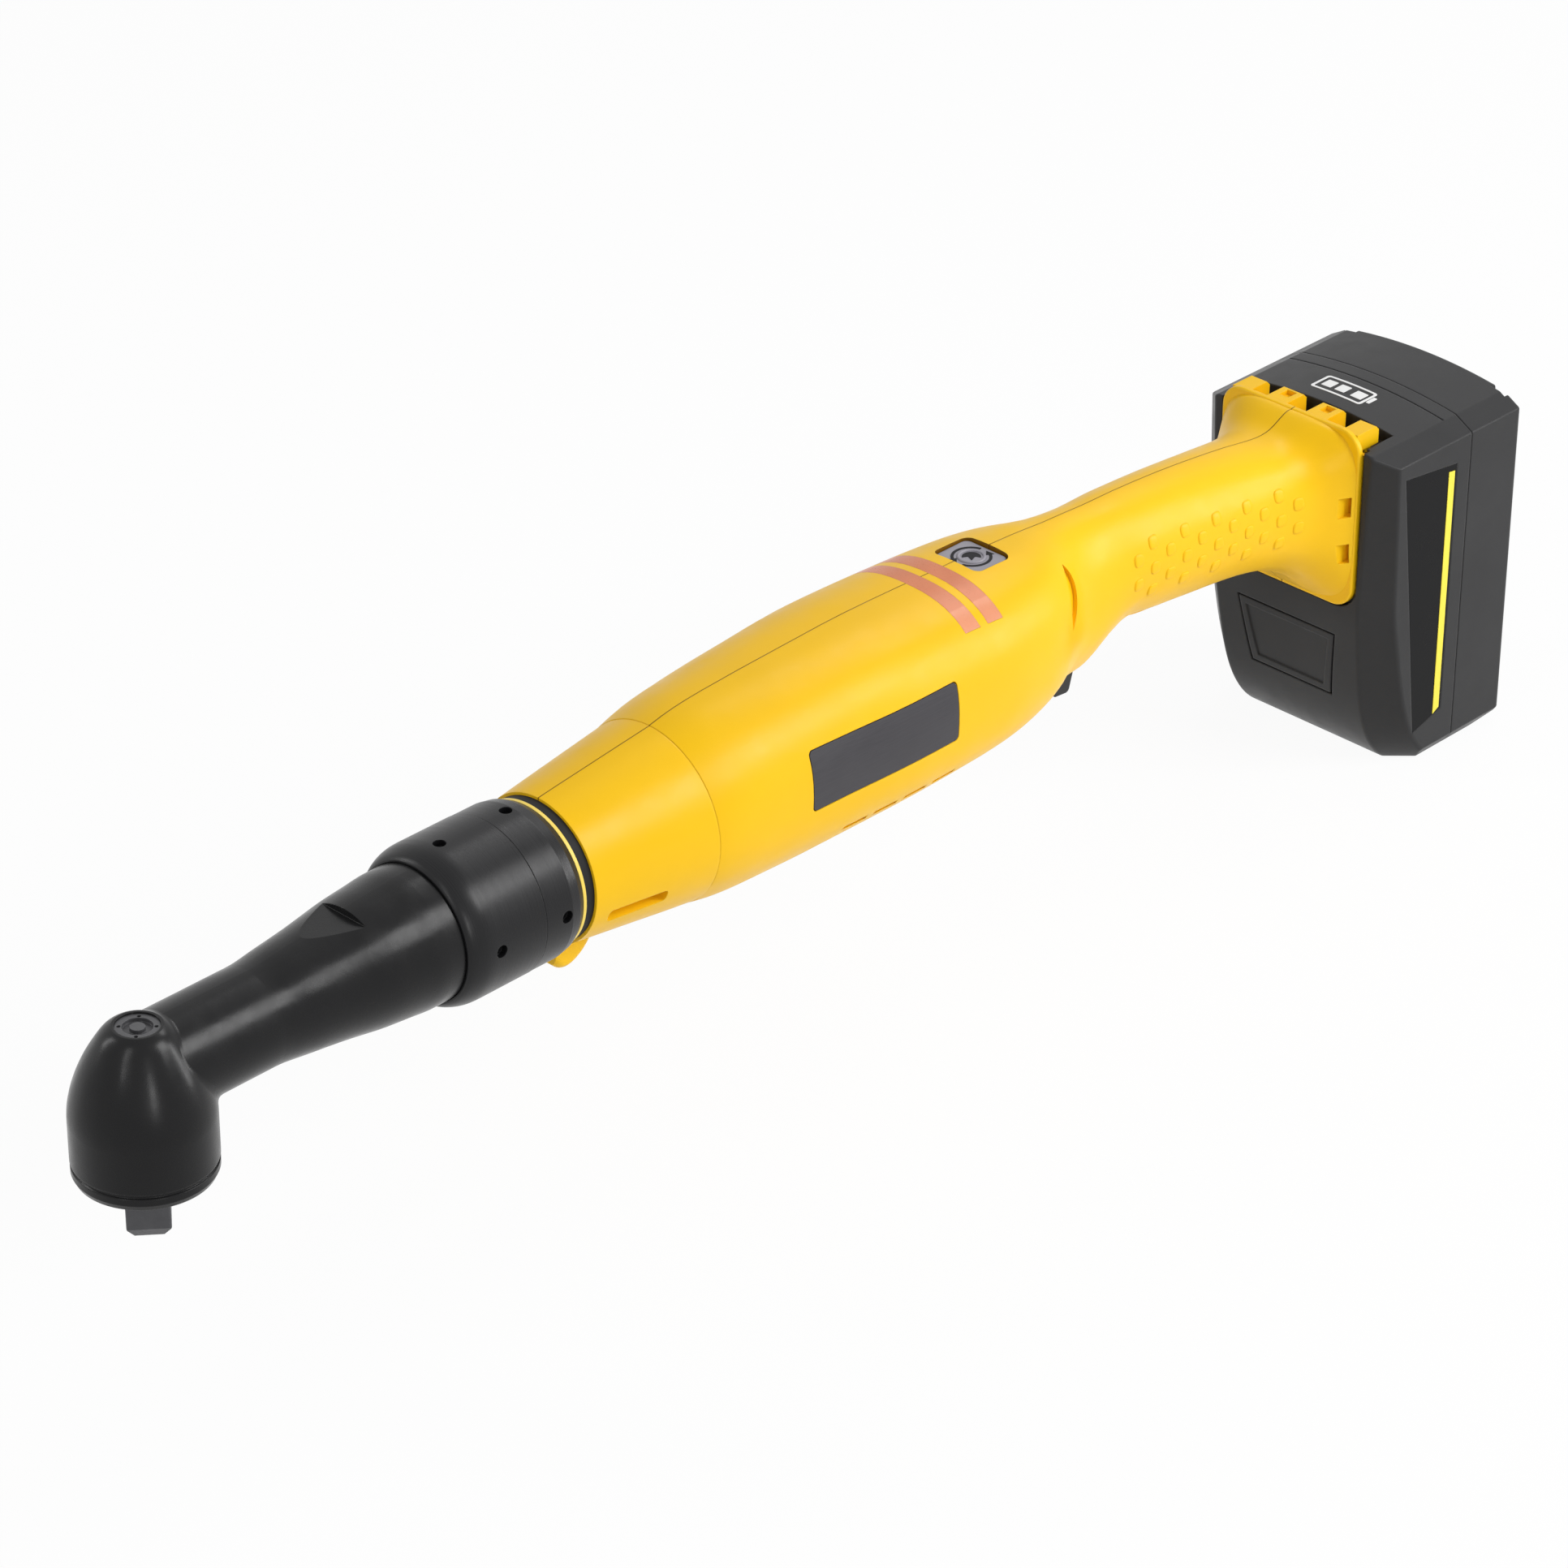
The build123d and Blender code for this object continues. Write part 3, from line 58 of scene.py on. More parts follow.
# Camera: angles in degrees, and the tool's origin as the camera sees it, in millimetres
image_size = 1932
sensor_width = 36.0
focal_pixels = 7177.0
camera_turn = 46.147
camera_tilt = 30.485
camera_roll = 0.342
seen_right = -176.96
seen_up = -79.63
seen_ahead = 1601.2

# Studio: light from all round, soft lamps, and a floor under the tool
white = (1.0, 1.0, 1.0, 1.0)
sky_level = 0.24
lamp_distance = 1.7
floor_size = 12.0
floor_colour = (0.90, 0.90, 0.90, 1.0)
floor_whitening = 0.94
lamps = {
    "main_lamp": {"turn": 30.0, "rise": 40.0, "width": 0.7, "height": 0.7, "watts": 14.0},
    "rear_strip": {"turn": 102.0, "rise": 50.0, "width": 0.9, "height": 0.22, "watts": 5.0},
    "side_strip": {"turn": 50.0, "rise": 16.0, "width": 0.3, "height": 0.8, "watts": 8.0},
    "left_strip": {"turn": -142.0, "rise": 28.0, "width": 0.25, "height": 0.9, "watts": 5.0},
    "head_strip": {"turn": -78.0, "rise": 36.0, "width": 0.16, "height": 0.9, "watts": 3.0},
    "front_strip": {"turn": -28.0, "rise": 16.0, "width": 0.25, "height": 0.6, "watts": 4.0},
}

# Dark lines on the housing: along the parting line, the joint between the halves with painted shade of its
# gap, and painted shade on the walls of the button's window, standing in for the shadow inside that recess
seam_half_width = 0.16
seam_shade_strength = 0.60
seam_and_shade_colour = (0.150, 0.055, 0.004, 1.0)
window_shade_strength = 0.92
window_half_length = 9.0
window_half_width = 11.0
wall_level = 0.5
wall_blend = 0.1

# How far from the tool's middle a ray starts that looks for a surface
ray_start = 90.0

# Grip dots: staggered rows on the handle's sides, measured from the handle's sloping middle line
dot_width = 4.4
dot_height = 0.45
dot_squareness = 3.2
dot_rows = 5
dot_row_pitch = 4.2
dot_top_row = 9.7
dot_pitch = 14.85
dot_front = 405.7
dot_count = 5
handle_middle_x = 400.0
handle_middle_z = 7.8
handle_slope = -0.085
dot_sides = 28
dot_profile = ((1.0, -0.4), (0.97, 0.25), (0.90, 0.68), (0.78, 0.90), (0.55, 1.0), (0.25, 1.0))

# Sizes in the finishes: motor sheets, light bands' pale ends, board tracks, and rings in the lamp's lens
sheet_thickness = 0.5
lamp_ends_from = 17.9
lamp_ends_to = 18.5
track_pitch = 3.0
lens_rings = 400.0

# Charge gauge printed on top of the pack
gauge_front = 515.7
gauge_back = 525.9
gauge_left = 12.0
gauge_right = -8.9
gauge_line = 0.95
gauge_corner = 1.2
gauge_step = 1.0
gauge_bar_front = 518.6
gauge_bar_back = 523.2
gauge_bars = ((9.6, 5.6), (4.0, 0.0), (-2.6, -7.0))
gauge_nub = 1.7
gauge_small_corner = gauge_line / 3
print_height = 0.12
print_sink = 0.05
corner_steps = 6

# Stripe down each side panel of the pack
stripe_front = 525.7
stripe_back = 528.8
stripe_top_front = 6.3
stripe_top_back = 5.8
stripe_low_front = -84.6
stripe_low_back = -83.0
stripe_height = 0.16
stripe_steps = 24

# Symbol on the function button: a raised ring, two turning arrows round it and a dark middle
button_x = 337.5
symbol_ring = 4.1
symbol_ring_wire = 0.55
symbol_arrow_radius = 6.0
symbol_arrow_line = 0.95
symbol_arrow_head = 2.6
symbol_arrows = ((14.0, 148.0), (194.0, 328.0))
symbol_arrow_steps = 20
symbol_turn = 44.0
symbol_bow = 3.0
symbol_bow_half_turn = 100.0
symbol_bow_steps = 24
symbol_pointer = ((1.1, 90.0), (2.4, 180.0), (1.1, 270.0))
symbol_height = 0.12
ring_turns = 48
ring_sides = 10
ring_sink = 0.1


def place(x, y, z):
    """A point of the tool's own frame, in millimetres, as a point of the row frame."""
    return Vector((x * mm, y * mm, z * mm + axis_height))


# Node helpers
def start_material(name):
    """A new node material, with its tree and its main shader."""
    material = bpy.data.materials.new(name)
    material.use_nodes = True
    return material, material.node_tree, material.node_tree.nodes["Principled BSDF"]


def add_node(tree, kind, links=None, **settings):
    """A node whose inputs, by name or index, are set to a value or linked to a socket."""
    node = tree.nodes.new("ShaderNode" + kind)
    for key, value in settings.items():
        setattr(node, key, value)
    for key, value in (links or {}).items():
        if isinstance(value, bpy.types.NodeSocket):
            tree.links.new(value, node.inputs[key])
        else:
            node.inputs[key].default_value = value
    return node


def position(tree):
    """Place on the object, in metres."""
    return add_node(tree, "TexCoord").outputs["Object"]


def noise(tree, size, detail=3.0, stretch=None, roughness=0.55):
    """Noise whose lumps are about size millimetres, drawn out by stretch along X, Y and Z."""
    where = position(tree)
    if stretch:
        squeeze = [1 / part for part in stretch]
        where = add_node(tree, "Mapping", {"Vector": where, "Scale": squeeze}).outputs[0]
    links = {"Vector": where, "Scale": 1 / (size * mm), "Detail": detail, "Roughness": roughness}
    return add_node(tree, "TexNoise", links).outputs["Fac"]


def spread(tree, value, low, high, start=0.3, stop=0.7):
    """A value from start to stop, drawn out to low to high."""
    links = {"Value": value, "From Min": start, "From Max": stop, "To Min": low, "To Max": high}
    return add_node(tree, "MapRange", links).outputs["Result"]


def blend(tree, share, first, second):
    """Two colours mixed by share."""
    links = {0: share, 6: first, 7: second}
    return add_node(tree, "Mix", links, data_type="RGBA").outputs[2]


def sums(tree, kind, first, second=0.0):
    """One sum of two values, or of one where the kind takes one."""
    return add_node(tree, "Math", {0: first, 1: second}, operation=kind).outputs[0]


def seen_white(tree):
    """One for a ray from the camera, a reflection or a clear piece, and nought for other light."""
    path = add_node(tree, "LightPath").outputs
    seen = sums(tree, "MAXIMUM", path["Is Camera Ray"], path["Is Glossy Ray"])
    return sums(tree, "MAXIMUM", seen, path["Is Transmission Ray"])


def tinted(colour, factor):
    """A colour made lighter or darker."""
    return tuple(min(1.0, part * factor) for part in colour[:3]) + (1.0,)


def soft_edges(tree, radius):
    """Normal of a surface whose edges are rounded by radius millimetres."""
    return add_node(tree, "Bevel", {"Radius": radius * mm}, samples=6).outputs["Normal"]


def bumped(tree, shader, height, depth, strength=1.0, normal=None):
    """Height in shares of depth millimetres as bump on the shader."""
    links = {"Strength": strength, "Distance": depth * mm, "Height": height}
    if normal:
        links["Normal"] = normal
    tree.links.new(add_node(tree, "Bump", links).outputs["Normal"], shader.inputs["Normal"])


# Materials
def moulded(name, colour, gloss, grain, depth, shade=0.06, shine=0.5, edge=0.3):
    """Moulded plastic: cloudy tone, fine spark-worn grain and uneven gloss."""
    material, tree, shader = start_material(name)
    cloud = spread(tree, noise(tree, 45.0), 0.0, 1.0)
    grit = noise(tree, grain, detail=4.0)
    tone = blend(tree, cloud, tinted(colour, 1 - shade), tinted(colour, 1 + shade))
    speckle = spread(tree, grit, 0.0, 0.35)
    tree.links.new(blend(tree, speckle, tone, tinted(colour, 1 - 2 * shade)), shader.inputs["Base Color"])
    patches = noise(tree, 9.0, detail=5.0)
    tree.links.new(spread(tree, patches, gloss - 0.05, gloss + 0.05), shader.inputs["Roughness"])
    shader.inputs["Specular IOR Level"].default_value = shine
    bumped(tree, shader, grit, depth, normal=soft_edges(tree, edge))
    return material


def yellow_shell():
    """Yellow housing plastic, with a dark parting line (the joint with painted shade of its gap) and painted
    shade on the walls round the button's window.
    """
    material = moulded("yellow_shell", (0.93, 0.545, 0.006), 0.36, 0.34, 0.010, 0.035, 0.20, 0.35)
    tree = material.node_tree
    colour = tree.nodes["Principled BSDF"].inputs["Base Color"]
    plastic = colour.links[0].from_socket
    x, y, _ = add_node(tree, "SeparateXYZ", {"Vector": position(tree)}).outputs
    off_seam = sums(tree, "ABSOLUTE", y)
    # Partly painted shade: a dark line on the joint between the two halves, standing in for the shadow in
    # the gap there
    seam_line_shade = spread(tree, off_seam, seam_shade_strength, 0.0, seam_half_width * mm, 2 * seam_half_width * mm)
    # Painted shade: steep faces close to the button, the walls of its window, are darkened as the shadow
    # inside that recess
    normal = add_node(tree, "NewGeometry").outputs["True Normal"]
    level = add_node(tree, "SeparateXYZ", {"Vector": normal}).outputs["Z"]
    wall_shade = spread(tree, level, window_shade_strength, 0.0, wall_level - wall_blend, wall_level + wall_blend)
    off_button = sums(tree, "ABSOLUTE", sums(tree, "SUBTRACT", x, button_x * mm))
    near = sums(tree, "LESS_THAN", off_button, window_half_length * mm)
    near = sums(tree, "MULTIPLY", near, sums(tree, "LESS_THAN", off_seam, window_half_width * mm))
    dark = sums(tree, "MAXIMUM", seam_line_shade, sums(tree, "MULTIPLY", wall_shade, near))
    tree.links.new(blend(tree, dark, plastic, seam_and_shade_colour), colour)
    return material


def lacquered_metal(name, colour, gloss, shine):
    """Satin black finish over cast metal: slight orange peel and fine pits."""
    material, tree, shader = start_material(name)
    peel = noise(tree, 2.6, detail=2.0)
    pits = noise(tree, 0.5, detail=3.0)
    cloud = spread(tree, noise(tree, 30.0), 0.0, 1.0)
    tone = blend(tree, cloud, tinted(colour, 0.85), tinted(colour, 1.2))
    tree.links.new(blend(tree, spread(tree, pits, 0.0, 0.3), tone, tinted(colour, 1.6)),
                   shader.inputs["Base Color"])
    tree.links.new(spread(tree, noise(tree, 7.0, detail=4.0), gloss - 0.04, gloss + 0.06),
                   shader.inputs["Roughness"])
    shader.inputs["Specular IOR Level"].default_value = shine
    height = sums(tree, "ADD", peel, sums(tree, "MULTIPLY", pits, 0.25))
    bumped(tree, shader, height, 0.02, normal=soft_edges(tree, 0.4))
    return material


def turned_metal(name, colour, gloss, metal, shine=0.5, lines=0.12, depth=0.006):
    """Turned metal: fine tool lines round the tool's long axis, in bands of uneven gloss."""
    material, tree, shader = start_material(name)
    rings = noise(tree, lines, detail=4.0, stretch=(1.0, 400.0, 400.0))
    cloud = spread(tree, noise(tree, 14.0, detail=4.0), 0.0, 1.0)
    tone = blend(tree, cloud, tinted(colour, 0.88), tinted(colour, 1.12))
    tree.links.new(blend(tree, spread(tree, rings, 0.0, 0.5), tone, tinted(colour, 0.8)),
                   shader.inputs["Base Color"])
    tree.links.new(spread(tree, rings, gloss - 0.06, gloss + 0.08), shader.inputs["Roughness"])
    shader.inputs["Metallic"].default_value = metal
    shader.inputs["Specular IOR Level"].default_value = shine
    bumped(tree, shader, rings, depth, normal=soft_edges(tree, 0.3))
    return material


def ground_metal(name, colour, gloss, metal=1.0, size=0.5, depth=0.004):
    """Ground or plated metal: fine scratches both ways and soft stains."""
    material, tree, shader = start_material(name)
    along = noise(tree, size, detail=4.0, stretch=(12.0, 1.0, 1.0))
    across = noise(tree, size, detail=4.0, stretch=(1.0, 1.0, 12.0))
    scratches = sums(tree, "MULTIPLY", along, across)
    stain = spread(tree, noise(tree, 6.0, detail=4.0), 0.0, 1.0)
    tone = blend(tree, stain, tinted(colour, 0.85), tinted(colour, 1.1))
    tree.links.new(tone, shader.inputs["Base Color"])
    sheen = spread(tree, scratches, gloss - 0.06, gloss + 0.1, 0.15, 0.4)
    tree.links.new(sheen, shader.inputs["Roughness"])
    shader.inputs["Metallic"].default_value = metal
    bumped(tree, shader, scratches, depth, normal=soft_edges(tree, 0.15))
    return material


def laminated(name, colour, gloss):
    """Stacked steel sheets across the motor's axis."""
    material, tree, shader = start_material(name)
    where = add_node(tree, "SeparateXYZ", {"Vector": position(tree)}).outputs["X"]
    sheet = sums(tree, "FRACT", sums(tree, "MULTIPLY", where, 1 / (sheet_thickness * mm)))
    gap = spread(tree, sheet, 1.0, 0.0, 0.0, 0.2)
    tone = blend(tree, gap, tinted(colour, 1.0), tinted(colour, 0.35))
    stain = spread(tree, noise(tree, 3.0), 0.0, 0.4)
    tree.links.new(blend(tree, stain, tone, (0.10, 0.06, 0.04, 1.0)), shader.inputs["Base Color"])
    tree.links.new(spread(tree, noise(tree, 1.0), gloss - 0.08, gloss + 0.08), shader.inputs["Roughness"])
    shader.inputs["Metallic"].default_value = 0.9
    bumped(tree, shader, sheet, 0.02)
    return material


def wound_copper():
    """Enamelled copper wire, lying along the motor."""
    material, tree, shader = start_material("copper_wire")
    strands = noise(tree, 0.6, detail=1.0, stretch=(14.0, 1.0, 1.0))
    tone = blend(tree, spread(tree, strands, 0.0, 1.0), (0.30, 0.09, 0.03, 1.0), (0.72, 0.30, 0.12, 1.0))
    tree.links.new(tone, shader.inputs["Base Color"])
    tree.links.new(spread(tree, noise(tree, 2.0), 0.25, 0.4), shader.inputs["Roughness"])
    shader.inputs["Metallic"].default_value = 0.85
    bumped(tree, shader, strands, 0.25)
    return material


def printed_board():
    """Green circuit board with copper tracks under the mask and a glass weave."""
    material, tree, shader = start_material("green_board")
    links = {"Vector": position(tree), "Scale": 1 / (track_pitch * mm)}
    cells = add_node(tree, "TexVoronoi", links, distance="CHEBYCHEV", feature="F1").outputs["Distance"]
    track = spread(tree, cells, 1.0, 0.0, 0.30, 0.36)
    weave = noise(tree, 0.3, detail=2.0)
    tone = blend(tree, track, (0.010, 0.075, 0.030, 1.0), (0.030, 0.150, 0.060, 1.0))
    tree.links.new(tone, shader.inputs["Base Color"])
    tree.links.new(spread(tree, weave, 0.25, 0.4), shader.inputs["Roughness"])
    bumped(tree, shader, track, 0.03)
    return material


def amber_lens():
    """Amber light band: warm moulded lens, paler at its two ends where the lamps sit."""
    material, tree, shader = start_material("amber_band")
    across = add_node(tree, "SeparateXYZ", {"Vector": position(tree)}).outputs["Y"]
    end = spread(tree, sums(tree, "ABSOLUTE", across), 0.0, 1.0, lamp_ends_from * mm, lamp_ends_to * mm)
    cloud = spread(tree, noise(tree, 12.0), 0.0, 1.0)
    middle = blend(tree, cloud, (0.60, 0.165, 0.055, 1.0), (0.68, 0.205, 0.075, 1.0))
    pale = blend(tree, cloud, (0.70, 0.245, 0.115, 1.0), (0.76, 0.290, 0.145, 1.0))
    tree.links.new(blend(tree, end, middle, pale), shader.inputs["Base Color"])
    frost = noise(tree, 0.5, detail=3.0)
    tree.links.new(spread(tree, frost, 0.26, 0.40), shader.inputs["Roughness"])
    shader.inputs["Subsurface Weight"].default_value = 0.15
    shader.inputs["Subsurface Scale"].default_value = 1.5 * mm
    bumped(tree, shader, frost, 0.012, normal=soft_edges(tree, 0.3))
    return material


def clear_lens():
    """Clear lamp lens with pressed rings."""
    material, tree, shader = start_material("lamp_lens")
    links = {"Vector": position(tree), "Scale": lens_rings, "Distortion": 0.5}
    rings = add_node(tree, "TexWave", links, wave_type="RINGS").outputs["Fac"]
    tree.links.new(blend(tree, rings, (0.86, 0.90, 0.95, 1.0), (0.95, 0.97, 1.0, 1.0)),
                   shader.inputs["Base Color"])
    tree.links.new(spread(tree, noise(tree, 1.0), 0.05, 0.14), shader.inputs["Roughness"])
    shader.inputs["Transmission Weight"].default_value = 0.6
    bumped(tree, shader, rings, 0.05)
    return material


def label_film():
    """Grey label film: faint brushing along the tool under a satin lacquer."""
    material, tree, shader = start_material("grey_label")
    brushed = noise(tree, 0.35, detail=4.0, stretch=(60.0, 1.0, 1.0))
    cloud = spread(tree, noise(tree, 40.0), 0.0, 1.0)
    tone = blend(tree, cloud, (0.046, 0.044, 0.050, 1.0), (0.062, 0.060, 0.066, 1.0))
    tree.links.new(blend(tree, spread(tree, brushed, 0.0, 0.3), tone, (0.085, 0.083, 0.088, 1.0)),
                   shader.inputs["Base Color"])
    tree.links.new(spread(tree, brushed, 0.38, 0.5), shader.inputs["Roughness"])
    shader.inputs["Specular IOR Level"].default_value = 0.2
    bumped(tree, shader, brushed, 0.004, normal=soft_edges(tree, 0.2))
    return material


def plastic_finishes():
    """Moulded finishes by slot: colour, gloss, grain's size and depth, shade, shine and edge rounding."""
    return {
        "black_plastic": moulded("black_shell", (0.034, 0.034, 0.035), 0.36, 0.42, 0.024, 0.10, 0.14, 0.90),
        "panel_plastic": moulded("dark_panel", (0.004, 0.004, 0.0045), 0.30, 0.60, 0.010, 0.10, 0.09, 0.40),
        "button_plastic": moulded("grey_button", (0.30, 0.29, 0.33), 0.36, 0.38, 0.014, 0.06, 0.40, 0.40),
        "inner_plastic": moulded("inner_plastic", (0.045, 0.045, 0.050), 0.50, 0.60, 0.030),
        "seal_rubber": moulded("seal_rubber", (0.012, 0.012, 0.013), 0.62, 0.50, 0.030, 0.10, 0.20),
        "cell_can": moulded("cell_wrap", (0.06, 0.16, 0.36), 0.30, 1.5, 0.02),
    }


def metal_finishes():
    """Metal finishes by slot: colour, gloss, and then what the kind of metal takes."""
    return {
        "head_metal": lacquered_metal("head_black", (0.005, 0.005, 0.0055), 0.25, 0.22),
        "nut_steel": turned_metal("nut_black", (0.009, 0.009, 0.010), 0.30, 0.0, 0.24),
        "drive_steel": ground_metal("drive_black", (0.075, 0.075, 0.080), 0.38, 0.6),
        "gear_steel": ground_metal("gear_steel", (0.36, 0.36, 0.38), 0.30),
        "bearing_steel": ground_metal("bearing_steel", (0.62, 0.62, 0.64), 0.18),
        "screw_steel": ground_metal("screw_steel", (0.10, 0.10, 0.11), 0.35, 0.8),
        "spring_steel": ground_metal("spring_steel", (0.50, 0.50, 0.52), 0.25),
        "core_steel": laminated("core_sheets", (0.30, 0.30, 0.32), 0.42),
        "magnet": ground_metal("magnet_plate", (0.42, 0.42, 0.44), 0.28),
        "can_aluminium": turned_metal("can_aluminium", (0.62, 0.62, 0.64), 0.34, 1.0),
        "copper": wound_copper(),
        "contact_metal": ground_metal("contact_metal", (0.70, 0.52, 0.26), 0.26),
    }


finishes = {
    "yellow_plastic": yellow_shell(),
    "label_film": label_film(),
    "amber_lens": amber_lens(),
    "clear_lens": clear_lens(),
    "circuit_board": printed_board(),
    **plastic_finishes(),
    **metal_finishes(),
}
plug_grey = turned_metal("plug_grey", (0.090, 0.090, 0.095), 0.34, 0.3, 0.40)
spacer_yellow = moulded("spacer_yellow", (0.90, 0.66, 0.10), 0.40, 0.40, 0.010, 0.03)
print_white = moulded("print_white", (0.86, 0.86, 0.86), 0.45, 0.30, 0.006, 0.03)
print_dark = moulded("print_dark", (0.008, 0.008, 0.010), 0.45, 0.30, 0.006, 0.08, 0.12)
stripe_yellow = moulded("stripe_yellow", (0.90, 0.75, 0.055), 0.40, 0.30, 0.006, 0.03, 0.40)
own_finishes = {"spacer_ring": spacer_yellow, "head_plug": plug_grey}


def finish_cad_nodes():
    """Each CAD node takes its own finish, or else that of its slot."""
    for row in frame["record"]["subparts"]:
        materials = nodes[row["node"]].data.materials
        materials.clear()
        materials.append(own_finishes.get(row["node"], finishes[row["material_slot"]]))


# Mesh helpers
def surface(*names):
    """Search tree over the outer surface of some CAD nodes."""
    shape = bmesh.new()
    for name in names:
        shape.from_mesh(nodes[name].data)
    tree = BVHTree.FromBMesh(shape)
    shape.free()
    return tree


def side_point(tree, side, x, z):
    """Place and normal on a side of the tool, looking inwards along Y."""
    return tree.ray_cast(place(x, side * ray_start, z), Vector((0, -side, 0)))[:2]


def top_point(tree, x, y):
    """Place and normal on top of the tool, looking down."""
    return tree.ray_cast(place(x, y, ray_start), Vector((0, 0, -1)))[:2]


def add_piece(name, shape, material, body):
    """A finished mesh as a piece that rides on a body."""
    bmesh.ops.recalc_face_normals(shape, faces=shape.faces)
    mesh = bpy.data.meshes.new(name)
    shape.to_mesh(mesh)
    shape.free()
    mesh.materials.append(material)
    piece = bpy.data.objects.new(name, mesh)
    bpy.context.scene.collection.objects.link(piece)
    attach(piece, body)
    return piece


def bridge(shape, first, second, smooth=False):
    """Faces between two closed rings of vertices."""
    count = len(first)
    for index in range(count):
        following = (index + 1) % count
        face = shape.faces.new((first[index], first[following], second[following], second[index]))
        face.smooth = smooth


def thick_print(shape, tree_point, height):
    """Turns a flat drawing in millimetres into a thin raised print on a surface."""
    flat = list(shape.faces)
    bmesh.ops.recalc_face_normals(shape, faces=flat)
    low = {}
    for vertex in list(shape.verts):
        spot, normal = tree_point(vertex.co.x, vertex.co.y)
        low[vertex] = shape.verts.new(spot - normal * print_sink * mm)
        vertex.co = spot + normal * height * mm
    rims = [edge for edge in shape.edges if edge.is_boundary]
    for edge in rims:
        start, end = edge.verts
        shape.faces.new((start, end, low[end], low[start]))
    for face in flat:
        shape.faces.new([low[vertex] for vertex in reversed(face.verts)])


def rounded_box(low_u, high_u, low_v, high_v, corner):
    """Outline of a rectangle with round corners."""
    points = []
    middles = ((high_u, high_v, 0), (low_u, high_v, 90), (low_u, low_v, 180), (high_u, low_v, 270))
    for edge_u, edge_v, start in middles:
        centre_u = edge_u - math.copysign(corner, edge_u - (low_u + high_u) / 2)
        centre_v = edge_v - math.copysign(corner, edge_v - (low_v + high_v) / 2)
        for step in range(corner_steps + 1):
            angle = math.radians(start + 90 * step / corner_steps)
            points.append((centre_u + corner * math.cos(angle), centre_v + corner * math.sin(angle)))
    return points


def flat_ring(shape, outline):
    """A closed ring of vertices on the drawing plane."""
    return [shape.verts.new((u, v, 0)) for u, v in outline]


# Pieces
def superellipse(angle, power):
    """Unit outline between a circle and a square."""
    cosine, sine = math.cos(angle), math.sin(angle)
    reach = (abs(cosine) ** power + abs(sine) ** power) ** (-1 / power)
    return cosine * reach, sine * reach


def add_dot(shape, tree, side, x, z):
    """One raised grip dot that follows the handle's curve."""
    rings = []
    for share, rise in dot_profile:
        reach = share * dot_width / 2
        ring = []
        for index in range(dot_sides):
            u, v = superellipse(2 * math.pi * index / dot_sides, dot_squareness)
            spot, normal = side_point(tree, side, x + u * reach, z + v * reach)
            ring.append(shape.verts.new(spot + normal * rise * dot_height * mm))
        rings.append(ring)
    for outer, inner in zip(rings, rings[1:]):
        bridge(shape, outer, inner, smooth=True)
    shape.faces.new(rings[-1]).smooth = True


def make_grip_dots():
    """Staggered rows of dots on both sides of the handle."""
    tree = surface("housing_left", "housing_right")
    yellow = finishes["yellow_plastic"]
    for side, name in ((-1, "right"), (1, "left")):
        shape = bmesh.new()
        for row in range(dot_rows):
            odd = row % 2
            for column in range(dot_count + odd):
                x = dot_front + (column - odd / 2) * dot_pitch
                middle = handle_middle_z + (x - handle_middle_x) * handle_slope
                add_dot(shape, tree, side, x, middle + dot_top_row - row * dot_row_pitch)
        add_piece("grip_dots_" + name, shape, yellow, "tool")


def frame_line(shape, outer, inner):
    """A line of even width between two outlines that have the same points, in short steps."""
    rows = [[shape.verts.new((*point, 0)) for point in pair] for pair in zip(outer, inner)]
    for first, second in zip(rows, rows[1:] + rows[:1]):
        steps = max(1, math.ceil((first[0].co - second[0].co).length / gauge_step))
        before = first
        for step in range(1, steps + 1):
            share = step / steps
            after = second
            if step < steps:
                after = [shape.verts.new(a.co.lerp(b.co, share)) for a, b in zip(first, second)]
            shape.faces.new((before[0], after[0], after[1], before[1]))
            before = after


def make_gauge():
    """Charge gauge on top of the pack: a cell outline with its nub and three bars."""
    tree = surface("battery_front_shell", "battery_rear_shell")
    shape = bmesh.new()
    outer = rounded_box(gauge_front, gauge_back, gauge_right, gauge_left, gauge_corner)
    inner = rounded_box(gauge_front + gauge_line, gauge_back - gauge_line, gauge_right + gauge_line,
                        gauge_left - gauge_line, gauge_corner - gauge_line / 2)
    frame_line(shape, outer, inner)
    for left, right in gauge_bars:
        bar = rounded_box(gauge_bar_front, gauge_bar_back, right, left, gauge_small_corner)
        shape.faces.new(flat_ring(shape, bar))
    nub = rounded_box(gauge_bar_front, gauge_bar_back, gauge_right - gauge_nub,
                      gauge_right - gauge_small_corner, gauge_small_corner)
    shape.faces.new(flat_ring(shape, nub))
    thick_print(shape, lambda x, y: top_point(tree, x, y), print_height)
    add_piece("charge_gauge", shape, print_white, "battery")


def make_stripes():
    """Yellow stripe down the back edge of each side panel."""
    tree = surface("side_panels")
    for side, name in ((-1, "right"), (1, "left")):
        shape = bmesh.new()
        rows = []
        for step in range(stripe_steps + 1):
            share = step / stripe_steps
            front_z = stripe_top_front + share * (stripe_low_front - stripe_top_front)
            back_z = stripe_top_back + share * (stripe_low_back - stripe_top_back)
            rows.append(flat_ring(shape, ((stripe_front, front_z), (stripe_back, back_z))))
        for first, second in zip(rows, rows[1:]):
            shape.faces.new((first[0], first[1], second[1], second[0]))
        thick_print(shape, lambda x, z: side_point(tree, side, x, z), stripe_height)
        add_piece("pack_stripe_" + name, shape, stripe_yellow, "battery")


def button_point(radius, turn):
    """A point round the button's middle, its turn in degrees."""
    angle = math.radians(turn)
    return button_x + radius * math.cos(angle), radius * math.sin(angle)


def arc_points(radius, start, stop, steps):
    """Points on a circle about the button's middle, angles in degrees."""
    return [button_point(radius, start + (stop - start) * step / steps) for step in range(steps + 1)]


